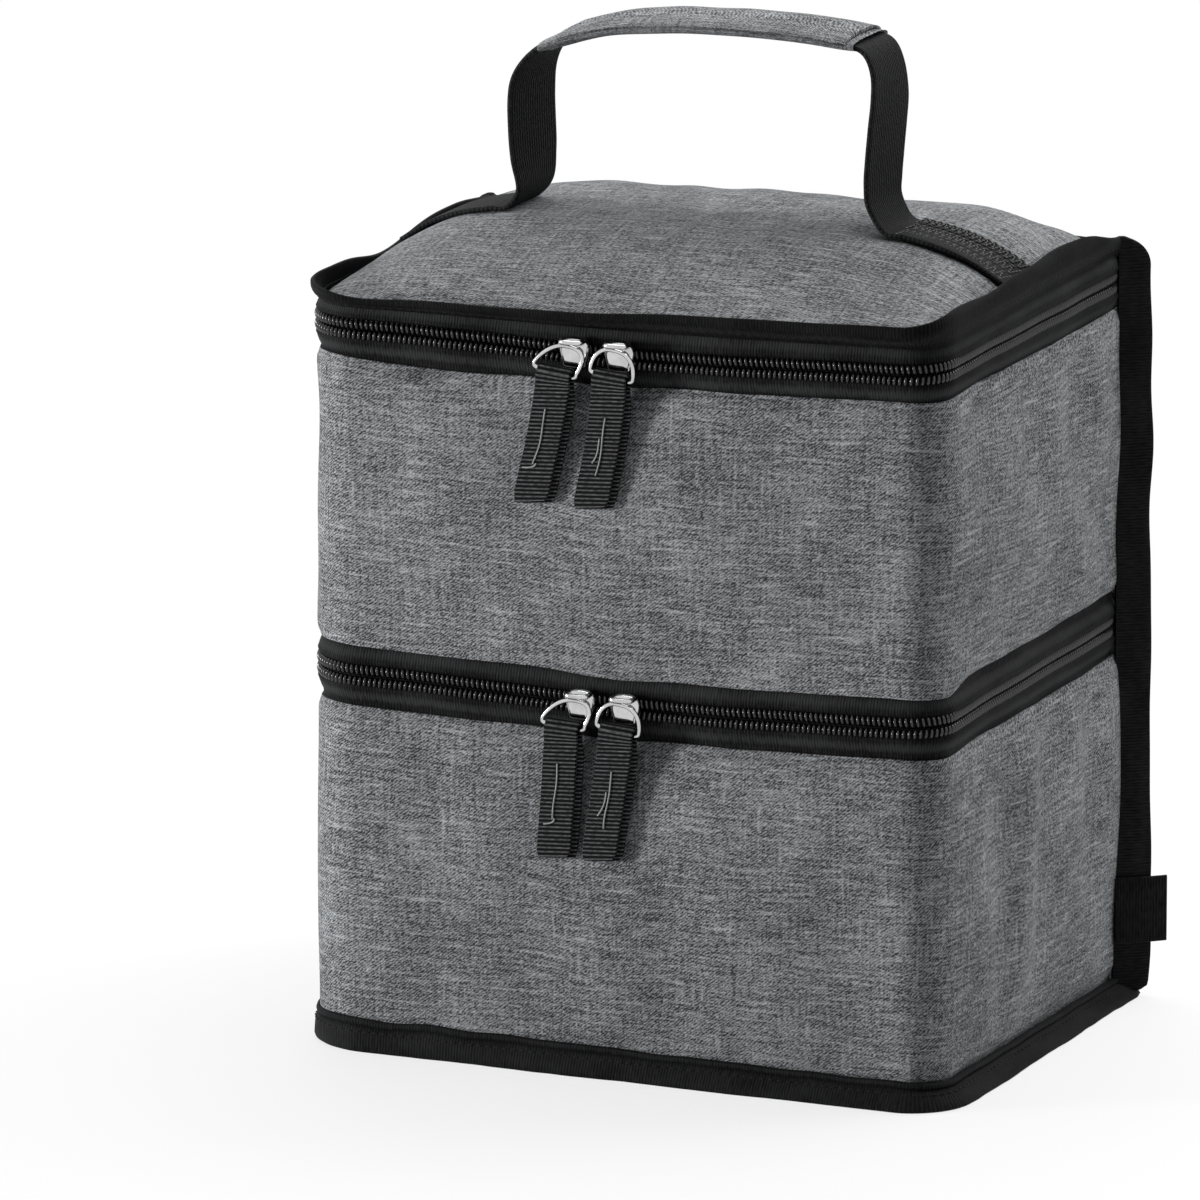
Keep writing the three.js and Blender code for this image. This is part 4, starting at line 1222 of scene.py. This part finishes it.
def rim():
    """The lid's binding: a taped seam that stands up at the sides and leans out along the front."""
    loop = bound_loop(BACK - RIM_BACK)
    columns, levels = RIM_GRID
    s = np.linspace(0, loop.length, columns, endpoint=False)
    away_x, away_y = loop.outward(s)
    x, y = loop.at(s)
    facing = {"front": -away_y, "right": away_x, "back": away_y, "left": -away_x}
    shares = {side: np.clip(facing[side], 0, 1) ** 2 for side in facing}
    ahead, over = shares.pop("front"), np.clip(x / SIDE / 2 + 0.5, 0, 1)
    shares.update({"front_left": ahead * (1 - over), "front_right": ahead * over})
    lean, hem, face, width = (sum(shares[side] * RIM_SHAPES[side][i] for side in shares) for i in range(4))
    ear = hump(s, RUN + ARC / 2, EAR_REACH)
    loss, start, run = RIM_FALL
    fall = 1 - loss * ease(np.clip((y - start) / run, 0, 1) * np.clip(np.abs(x) / SIDE, 0, 1) ** 4)
    pinch = 1 - RIM_PINCH * 4 * shares["back"] * (shares["left"] + shares["right"])
    dip = RIM_DIP[0] * hump(y, *RIM_DIP[1:]) * shares["left"]
    width = ((width + RIM_EAR[1] * ear - dip) * fall * pinch)[:, None]
    lean = np.radians(lean + RIM_EAR[0] * ear + uneven("rim_lean", s))[:, None]
    place = np.sin(np.linspace(0, QUARTER, levels)) * (width + uneven("rim_width", s)[:, None])
    turned = ease(np.clip((place - face[:, None]) / RIM_HEM, 0, 1))
    angle = lean * (RIM_CURL[0] + RIM_CURL[1] * place / width) - np.radians(hem)[:, None] * turned
    step = np.diff(place, axis=1, prepend=0)
    middle_out = -RIM_INSET + np.cumsum(np.sin(angle) * step, axis=1)
    middle_z = RIM_ROOT + np.cumsum(np.cos(angle) * step, axis=1)
    share = place / place[:, -1:]
    ridge = RIM_RIDGE[0] * hump(share, *RIM_RIDGE[1:])
    half = RIM_THICKNESS / 2 * np.sqrt(1 - share**8 * 0.9) * (1 + ridge)
    layers = []
    for aside in (half, -half):
        plan = loop.at(s[:, None], middle_out + aside * np.cos(angle))
        layers.append(joined(*plan, middle_z - aside * np.sin(angle)))
    rows = faced(*layers)
    piece = make_piece("lid_rim", settle(rows), loft(rows, True), RIM_FINISH, strip_map(rows, s))
    dress(piece, "lid", "black_tape", "lid_binding")
    line, away = settle(rows)[:, RIM_SEAM], joined(away_x, away_y, 0.0)
    seam = bead_rows("lid_rim_stitches", [line], [away], STITCH_PITCH, RIM_STITCH, DARK_THREAD)
    dress(seam, "lid", "black_tape")


def pocket():
    """The net under the lid and the elastic along its free edge."""
    low, high = node_box("lid_mesh_pocket")
    middle = (low + high) / 2
    inputs = {
        "Width": (high[0] - low[0] - NET_MARGIN) * MM,
        "Depth": (high[1] - low[1] - NET_MARGIN) * MM,
        "Columns": NET_GRID[0],
        "Rows": NET_GRID[1],
        "Strand": NET_STRAND * MM,
        "Sag": NET_SAG * MM,
        "Finish": DARK_THREAD,
    }
    net = grow("lid_net", NET, [(0, 0, 0)], [], inputs)
    net.data.transform(Matrix.Translation(Vector(middle) * MM))
    dress(net, "lid", "black_mesh", "lid_mesh_pocket")
    low, high = node_box("lid_pocket_trim")
    middle = (low + high) / 2
    steps, round_steps = ELASTIC_GRID
    x = np.linspace(low[0], high[0], steps)
    line = joined(x, middle[1], middle[2] + uneven("elastic_ripple", x))
    outline = ribbon_outline(*ELASTIC, round_steps)
    trim = sweep("lid_pocket_elastic", line, (0.0, 1.0, 0.0), outline, TAPE_FINISH)
    dress(trim, "lid", "black_tape", "lid_pocket_trim")


# Handle
def foot_line(places):
    """Middle of the webbing where it is sewn down on the lid."""
    points = settle([(x, 0, dome(x, 0) + STRAP / 2 + FOOT_GAP) for x in places])
    return [(x, z) for x, y, z in points]


def handle():
    """The webbing from the left seam of the lid, over the hand and down to the right seam, with its sewn feet."""
    steps, round_steps = STRAP_GRID
    left, right = map(foot_line, FEET)
    x, z = smooth_line(left + LEFT_RISER + GRIP_LINE + RIGHT_RISER + right, steps).T
    middle, reach = RISER_MIDDLE
    twist = np.radians(np.where(x < 0, *RISER_TWISTS)) * np.exp(-(((z - middle) / reach) ** 4))
    wide = joined(np.sin(twist), np.cos(twist), 0.0)
    outline = ribbon_outline(STRAP_WIDTH, STRAP, round_steps)
    strap = sweep("handle_strap", joined(x, 0.0, z), wide, outline, WEBBING_FINISH)
    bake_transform(strap)
    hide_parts("handle_webbing", "handle_foot_left", "handle_foot_right")
    x = np.linspace(*FOOT_RUN, ZIGZAG_POINTS)
    aside = ZIGZAG * np.where(np.arange(ZIGZAG_POINTS) % 2, 1.0, -1.0)
    top = dome(x, 0) + STRAP + STITCH_LIFT
    lines, away = [], []
    for hand in (-1, 1):
        for row in FOOT_ROWS:
            lines.append(settle(joined(hand * x, row + aside, top)))
            away.append(np.tile((FOOT_SLOPE * hand, 0.0, 1.0), (ZIGZAG_POINTS, 1)))
    seam = bead_rows("handle_foot_stitches", lines, away, FOOT_PITCH, FOOT_STITCH, FOOT_THREAD)
    dress(seam, "lid", "black_tape")


def grip():
    """The padded sleeve of cloth on the handle, and the flap folded over it."""
    steps, round_steps = GRIP_GRID
    x, lift = smooth_line([LEFT_RISER[-1]] + GRIP_LINE + [GRIP_END], steps).T
    half_width, half_rise = GRIP_HALF
    square, flat = GRIP_ROUND
    angle = np.linspace(0, TURN, round_steps, endpoint=False)
    full = 1 - GRIP_PINCH[0] * hump(np.minimum(x - x[0], x[-1] - x), 0.0, GRIP_PINCH[1])
    puff = 1 + uneven("grip_puff", x[:, None], PUFF_WIDTH * np.cos(angle))
    y = half_width * rounded(np.cos(angle), square) * (GRIP_EVEN + (1 - GRIP_EVEN) * puff)
    z = half_rise * rounded(np.sin(angle), flat) * puff * full[:, None]
    rows = joined(x[:, None], y, lift[:, None] + z)
    for inward, scale in GRIP_FOLD:
        ends = []
        for i, way in ((0, 1), (-1, -1)):
            ends.append(joined(x[i] + way * inward, y[i] * scale, lift[i] + z[i] * scale)[None])
        rows = np.concatenate([ends[0], rows, ends[1]])
    along = np.concatenate([x[:1] + GRIP_TURN, x[:1], x, x[-1:], x[-1:] - GRIP_TURN])
    uv = joined(along[:, None], np.linspace(0, GRIP_GIRTH, round_steps))
    sleeve = make_piece("grip_sleeve", rows, loft(rows), CLOTH_FINISH, uv)
    dress(sleeve, "handle", "grey_cloth", "handle_grip_sleeve")
    first, last = FLAP_STEPS
    x, lift = x[first : last + 1, None], lift[first : last + 1, None]
    over = np.linspace(*FLAP_WRAP, FLAP_STEPS_ROUND)
    ragged = 1 + uneven("flap_puff", x, PUFF_WIDTH * np.cos(over))
    layers = []
    for extra in FLAP_FACES:
        y = (half_width + FLAP_ASIDE * extra) * rounded(np.cos(over), square)
        y = y * (GRIP_EVEN + (1 - GRIP_EVEN) * ragged)
        layers.append(joined(x, y, lift + (half_rise + extra) * rounded(np.sin(over), flat) * ragged))
    rows = faced(*layers)
    around = np.linspace(0, FLAP_GIRTH, len(over))
    uv = joined(x + FLAP_WEAVE, np.append(around, around[::-1]))
    flap = make_piece("grip_flap", rows, loft(rows), CLOTH_FINISH, uv)
    dress(flap, "handle", "grey_cloth")


# Pulls
def slider(name, body, node, place, sink):
    """A plated slider: a domed plate sunk to the teeth, and a bridge along it that holds the ring."""
    middle, eye, zip_line = place
    plate_steps, bridge_steps, bar_steps = SLIDER_STEPS
    half = smooth_line(SLIDER_SIDE, plate_steps)
    outline = np.concatenate([half, (half * (-1, 1))[::-1][1:-1]])
    rings = [joined(outline[:, 0] * scale, -out, outline[:, 1] * scale) for out, scale in SLIDER_DOME]
    points, faces = shut_rings(np.array(rings))
    plate = make_piece(name, points + (middle, -FRONT - SLIDER_GAP, zip_line - sink), faces, METAL_FINISH)
    bridge = smooth_line(BRIDGE, bridge_steps)
    across, out = np.concatenate([bridge, (bridge * (-1, 1))[::-1][1:]]).T
    line = joined(across + middle, eye - out, zip_line + BRIDGE_LIFT)
    angle = np.linspace(-QUARTER, 3 * QUARTER, bar_steps, endpoint=False)
    outline = (BRIDGE_BAR[0] * np.sin(angle), BRIDGE_BAR[1] * np.cos(angle))
    loop = sweep(f"{name}_bridge", line, (0.0, 0.0, 1.0), outline, METAL_FINISH)
    dress(loop, body, "chrome")
    dress(plate, body, "chrome", node)


def hang(points, pivot, lean):
    """Places points drawn about a pull's pivot, leaned to one side."""
    x, y, z = np.moveaxis(points, -1, 0)
    across = x * math.cos(lean) + z * math.sin(lean)
    down = z * math.cos(lean) - x * math.sin(lean)
    return joined(across, y, down) + pivot


def ring(name, body, node, eye, lean, shift):
    """A wire ring from its slider's eye down to the tab's bar, its top shifted along the eye's axis."""
    steps, round_steps = RING_GRID
    bar_power, side_power = RING_SQUARE
    angle = np.linspace(0, TURN, steps, endpoint=False) + QUARTER
    rise = RING_DROP - RING_BEND
    arch = rise * (np.sin(angle) - 1)
    bar = -rise - RING_BEND * np.abs(np.sin(angle)) ** bar_power
    z = np.where(np.sin(angle) >= 0, arch, bar)
    line = hang(joined(RING_WIDTH / 2 * rounded(np.cos(angle), side_power), 0.0, z), eye, lean)
    line[:, 0] += shift * np.clip(1 + z / rise, 0, 1)
    deep = np.array([0.0, 1.0, 0.0])
    out = np.cross(unit(np.roll(line, -1, axis=0) - np.roll(line, 1, axis=0)), deep)
    round_wire = np.linspace(0, TURN, round_steps, endpoint=False)[:, None]
    rows = line[:, None] + WIRE * (deep * np.cos(round_wire) + out[:, None] * np.sin(round_wire))
    wire = make_piece(name, rows, loft(rows, True), METAL_FINISH)
    dress(wire, body, "chrome", node)


def tab_bend(z, seed):
    """How far a tab's cloth lies back from its pivot, down its length."""
    depth, haste, power = TAB_TUCK
    down = np.clip(np.clip(-z / TAB_LENGTH, 0, 1) * haste, 0, 1)
    ripples = TAB_RIPPLE[0] * np.sin(z / TAB_RIPPLE[1] + seed)
    return (depth * np.sin(down * QUARTER) ** power + ripples) * (z < 0)


def tab(name, body, node, bar, lean, seed):
    """A ribbed webbing tab folded over the ring's bar, with a pale line of stitching."""
    steps, round_steps = TAB_GRID
    deep, z = smooth_line(TAB_SIDE + [TAB_TOP] + [(-y, z) for y, z in TAB_SIDE[::-1]], steps).T
    run = run_along(joined(deep, z))
    slip = TAB_SLIP[0] * np.clip(-z / TAB_SLIP[1], 0, 1) * np.clip(deep / TAB_GAP, 0, 1)
    wander = TAB_WANDER[0] * np.sin(z / TAB_WANDER[1] + seed)
    line = joined(slip + wander, deep + tab_bend(z, seed), z)
    ribs = np.cos(run * TURN / RIB_PITCH)
    across, rise = ribbon_outline(TAB_WIDTH, TAB_CLOTH, round_steps)
    lost, reach = TAB_ENDS
    end = np.clip(np.minimum(run, run[-1] - run) / reach, 0, 1)
    narrow = 1 - lost + lost * np.sqrt(1 - (1 - end) ** 2) + RIB_RISE[1] * ribs
    out = np.cross(unit(np.gradient(line, axis=0)), (1.0, 0.0, 0.0))
    thick = rise * np.where(rise > 0, 1.0, (1 + RIB_RISE[0] * ribs)[:, None]) * TAB_THIN
    rows = line[:, None] + out[:, None] * thick[:, :, None]
    rows[:, :, 0] += across * narrow[:, None]
    least, reach = TAB_SQUARE
    skew = (math.tan(lean) + TAB_SKEW) * np.clip(least - z / reach, least, 1)
    rows[:, :, 2] += skew[:, None] * across
    cloth = make_piece(name, hang(rows, bar, lean), loft(rows), TAB_FINISH, joined(run[:, None], across))
    dress(cloth, body, "black_tape", node)
    share = np.linspace(0, 1, THREAD_STEPS)
    angle = np.linspace(0, TURN, THREAD_SIDES, endpoint=False)
    for strand, (top, bottom, aside, stray) in enumerate(TAB_THREADS[seed % 2]):
        z = np.linspace(top, bottom, len(share))
        x = aside + stray * share**3 + THREAD_WANDER[0] * np.sin(z / THREAD_WANDER[1] + seed) * share
        line = hang(joined(x, -TAB_GAP - TAB_CLOTH * THREAD_OUT + tab_bend(z, seed), z), bar, lean)
        wide = np.cross(np.gradient(line, axis=0), THREAD_ASIDE)
        outline = (THREAD * np.cos(angle), THREAD * np.sin(angle))
        sewn = sweep(f"{name}_stitching_{strand}", line, wide, outline, PALE_THREAD)
        dress(sewn, body, "black_tape")


def pulls():
    for row, zip_name in enumerate(("mid", "top")):
        for hand, side in enumerate(("left", "right")):
            body = f"{zip_name}_{side}"
            swing = JOINTS[f"{body}_tab_swing"]
            eye = np.array(JOINTS[f"{body}_ring_swing"]["pos_m"]) / MM
            bar = np.array(swing["pos_m"]) / MM
            lean = math.atan2(swing["axis"][2], -swing["axis"][0])
            sink = SLIDER_SINK * (eye[2] - settle((eye[0], -FRONT, eye[2]))[2])
            shift = SLIDER_SHIFT[side]
            place = eye + (shift, 0, 0)
            slider(f"{body}_zip_slider", f"{body}_slider", f"{zip_name}_slider_{side}", place, sink)
            ring(f"{body}_wire_ring", f"{body}_ring", f"{zip_name}_pull_ring_{side}", eye, lean, shift)
            tab(f"{body}_webbing_tab", f"{body}_tab", f"{zip_name}_pull_tab_{side}", bar, lean, hand + 2 * row)


# Small pieces
def label():
    """A bare woven label, folded and sewn into the right back seam."""
    low, high = node_box("side_label")
    height = high[2] - low[2]
    steps, round_steps = TAG_GRID
    a = np.linspace(0, TAG_REACH, steps)
    bow = TAG_BOW[0] + TAG_BOW[1] * np.sin(a / TAG_BOW[2] * math.pi)
    x = TAG_ROOT[0] + TAG_WAY[0] * a + TAG_WAY[1] * bow
    y = TAG_ROOT[1] + TAG_WAY[1] * a - TAG_WAY[0] * bow
    line = joined(x, y, (low[2] + high[2]) / 2)
    outline = ribbon_outline(height, TAG_THICKNESS, round_steps)
    tag = sweep("side_tag", line, (0.0, 0.0, 1.0), outline, TAPE_FINISH)
    dress(tag, "lower_compartment", "black_tape", "side_label")


def side_print(name, box_name, strokes):
    """A small printed sign on the left wall, drawn in millimetres about its middle."""
    middle_s, middle_z = SIGN_PLACE[0], sum(WALLS[box_name]) / 2 + SIGN_PLACE[1]
    inked = []
    for stroke in strokes:
        path = np.asarray(stroke, float)
        run = run_along(path)
        even = np.linspace(0, run[-1], max(3, int(run[-1] / SIGN_STEP)))
        s = middle_s + np.interp(even, run, path[:, 0])
        z = middle_z + np.interp(even, run, path[:, 1])
        line = settle(joined(*WALL.at(s, wall_out(box_name, s, z) + SIGN_LIFT), z))
        wide = np.cross(np.gradient(line, axis=0), (1.0, 0, 0))
        inked.append(sweep("stroke", line, wide, ribbon_outline(*SIGN_STROKE, STROKE_STEPS), PRINT_INK))
    for stroke in inked:
        stroke.select_set(True)
    bpy.context.view_layer.objects.active = inked[0]
    bpy.ops.object.join()
    inked[0].select_set(False)
    inked[0].name = name
    dress(inked[0], f"{box_name}_compartment", "black_tape")


def circle_points(radius, count=40, start=0.0, turn=TURN):
    angle = start + np.linspace(0, turn, count)
    return radius * joined(np.cos(angle), np.sin(angle))


def frame_points(half, corner):
    """A square outline with round corners."""
    points = [
        circle_points(corner, 8, i * QUARTER, QUARTER) + (half - corner) * np.array(way)
        for i, way in enumerate(((1, 1), (-1, 1), (-1, -1), (1, -1)))
    ]
    return np.concatenate(points + [points[0][:1]])


def prints():
    radius, start, end = SUN
    border = frame_points(*SIGN_FRAME)
    ways = circle_points(1.0, 9)[:-1]
    side_print("sun_sign", "upper", [border, circle_points(radius)] + [[way * start, way * end] for way in ways])
    arms = []
    for along in circle_points(1.0, 7, QUARTER)[:-1]:
        aside = np.array([-along[1], along[0]])
        arms.append([along * reach for reach in SNOW_ARM])
        for reach in SNOW_TWIGS:
            arms += [[along * reach, along * (reach + TWIG) + aside * way * TWIG] for way in (-1, 1)]
    side_print("snow_sign", "lower", [border] + arms)


def divider():
    """The foil underside of the upper box and the tape round its edge."""
    low, high = node_box("divider_outer_panel")
    panel_inset, back_inset, tape_inset = DIVIDER_INSETS

    def over(x, y, share):
        return high[2] + DIVIDER_TOP

    def under(x, y, share):
        return low[2] + uneven("divider_dents", x, y) * (1 - share**10)

    panel = pad("divider_panel", panel_inset, WALL_END - back_inset, over, under, FOIL_FINISH)
    dress(panel, "upper_compartment", "silver_foil", "divider_outer_panel", "divider_foam_board")
    foot = level("divider_binding", 0) + TAPE_LIFT
    rings = []
    for inset, z in DIVIDER_TAPE:
        x, y = plan_loop(inset, WALL_END - tape_inset - (inset - DIVIDER_TAPE[0][0]))
        rings.append(joined(x, y, foot + z))
    rows = np.array(rings).transpose(1, 0, 2)
    run = np.arange(len(rows)) * LOOP_STRIDES[1]
    tape = make_piece("divider_edge_tape", settle(rows), loft(rows, True), TAPE_FINISH, strip_map(rows, run))
    dress(tape, "upper_compartment", "black_tape", "divider_binding")


# Studio, in metres and degrees
PHOTO_SIZE = 1200
VIEW = (22.2, 12.8)  # azimuth and elevation
VIEW_DISTANCE = 4.0
PIXELS_PER_METRE = 3265
AIM = Vector((0, 0, 0.13))
AIM_PIXEL = (714.1, 606.5)
LAMPS = (  # azimuth, elevation, distance, size, power, and whether shiny pieces mirror it
    ("left_softbox", (-57, 5), 1.9, (0.32, 0.4), 41, True),
    ("right_softbox", (129, 24), 1.9, (0.8, 1.0), 17.5, False),
    ("top_softbox", (180, 70), 1.8, (2.0, 2.0), 57, True),
)
FLOOR = 6.0  # half its side
FLOOR_WHITE = (0.76, 0.2, 0.8)  # share of pure white under the bag, and from where and how fast it grows outwards
FILL = 0.04  # light from all round


def direction(azimuth, elevation):
    """The way from the bag to a place round it."""
    turn, rise = math.radians(azimuth), math.radians(elevation)
    return Vector((math.sin(turn) * math.cos(rise), -math.cos(turn) * math.cos(rise), math.sin(rise)))


def aimed(name, data, place, target):
    """A camera or lamp at a place, turned to a target."""
    made = add_object(name, data)
    made.location = place
    made.rotation_mode = "QUATERNION"
    made.rotation_quaternion = (target - place).to_track_quat("-Z", "Y")
    return made


def camera():
    """The photograph's view: a long lens from the front right, a little above."""
    back = direction(*VIEW)
    right = direction(VIEW[0] + 90, 0)
    up = back.cross(right)
    aside, above = ((pixel - PHOTO_SIZE / 2) / PIXELS_PER_METRE for pixel in AIM_PIXEL)
    lens = bpy.data.cameras.new("camera")
    lens.lens = lens.sensor_width * PIXELS_PER_METRE * VIEW_DISTANCE / PHOTO_SIZE
    bpy.context.scene.camera = aimed("camera", lens, AIM + back * VIEW_DISTANCE, AIM - right * aside + up * above)


def studio():
    """Soft boxes, a white world and a pale floor."""
    for name, way, distance, size, power, mirrored in LAMPS:
        light = bpy.data.lights.new(name, "AREA")
        light.shape = "RECTANGLE"
        light.size, light.size_y = size
        light.energy = power
        aimed(name, light, AIM + direction(*way) * distance, AIM).visible_glossy = mirrored
    world = bpy.data.worlds.new("studio")
    world.use_nodes = True
    world.node_tree.nodes.clear()
    graph = Socket(world.node_tree)
    strength = FILL + seen_rays(graph) * (1 - FILL)
    sky = graph.node("ShaderNodeBackground", {}, {"Color": grey(1.0), "Strength": strength})
    graph.node("ShaderNodeOutputWorld", {}, {"Surface": sky})
    bpy.context.scene.world = world
    mesh = bpy.data.meshes.new("floor")
    corners = [(FLOOR * x, FLOOR * y, 0) for x, y in ((-1, -1), (1, -1), (1, 1), (-1, 1))]
    mesh.from_pydata(corners, [], [(0, 1, 2, 3)])
    mesh.materials.append(pale_floor())
    add_object("floor", mesh)
    bpy.context.scene.view_settings.view_transform = "Standard"


camera()
studio()
for box in WALLS:
    wall_cloth(box)
for box in WALLS:
    tub(box)
base()
for half_zip in ZIP_REACHES:
    zip_half(*half_zip)
divider()
back()
lid_cloth()
lid_padding()
rim()
pocket()
handle()
grip()
pulls()
label()
prints()
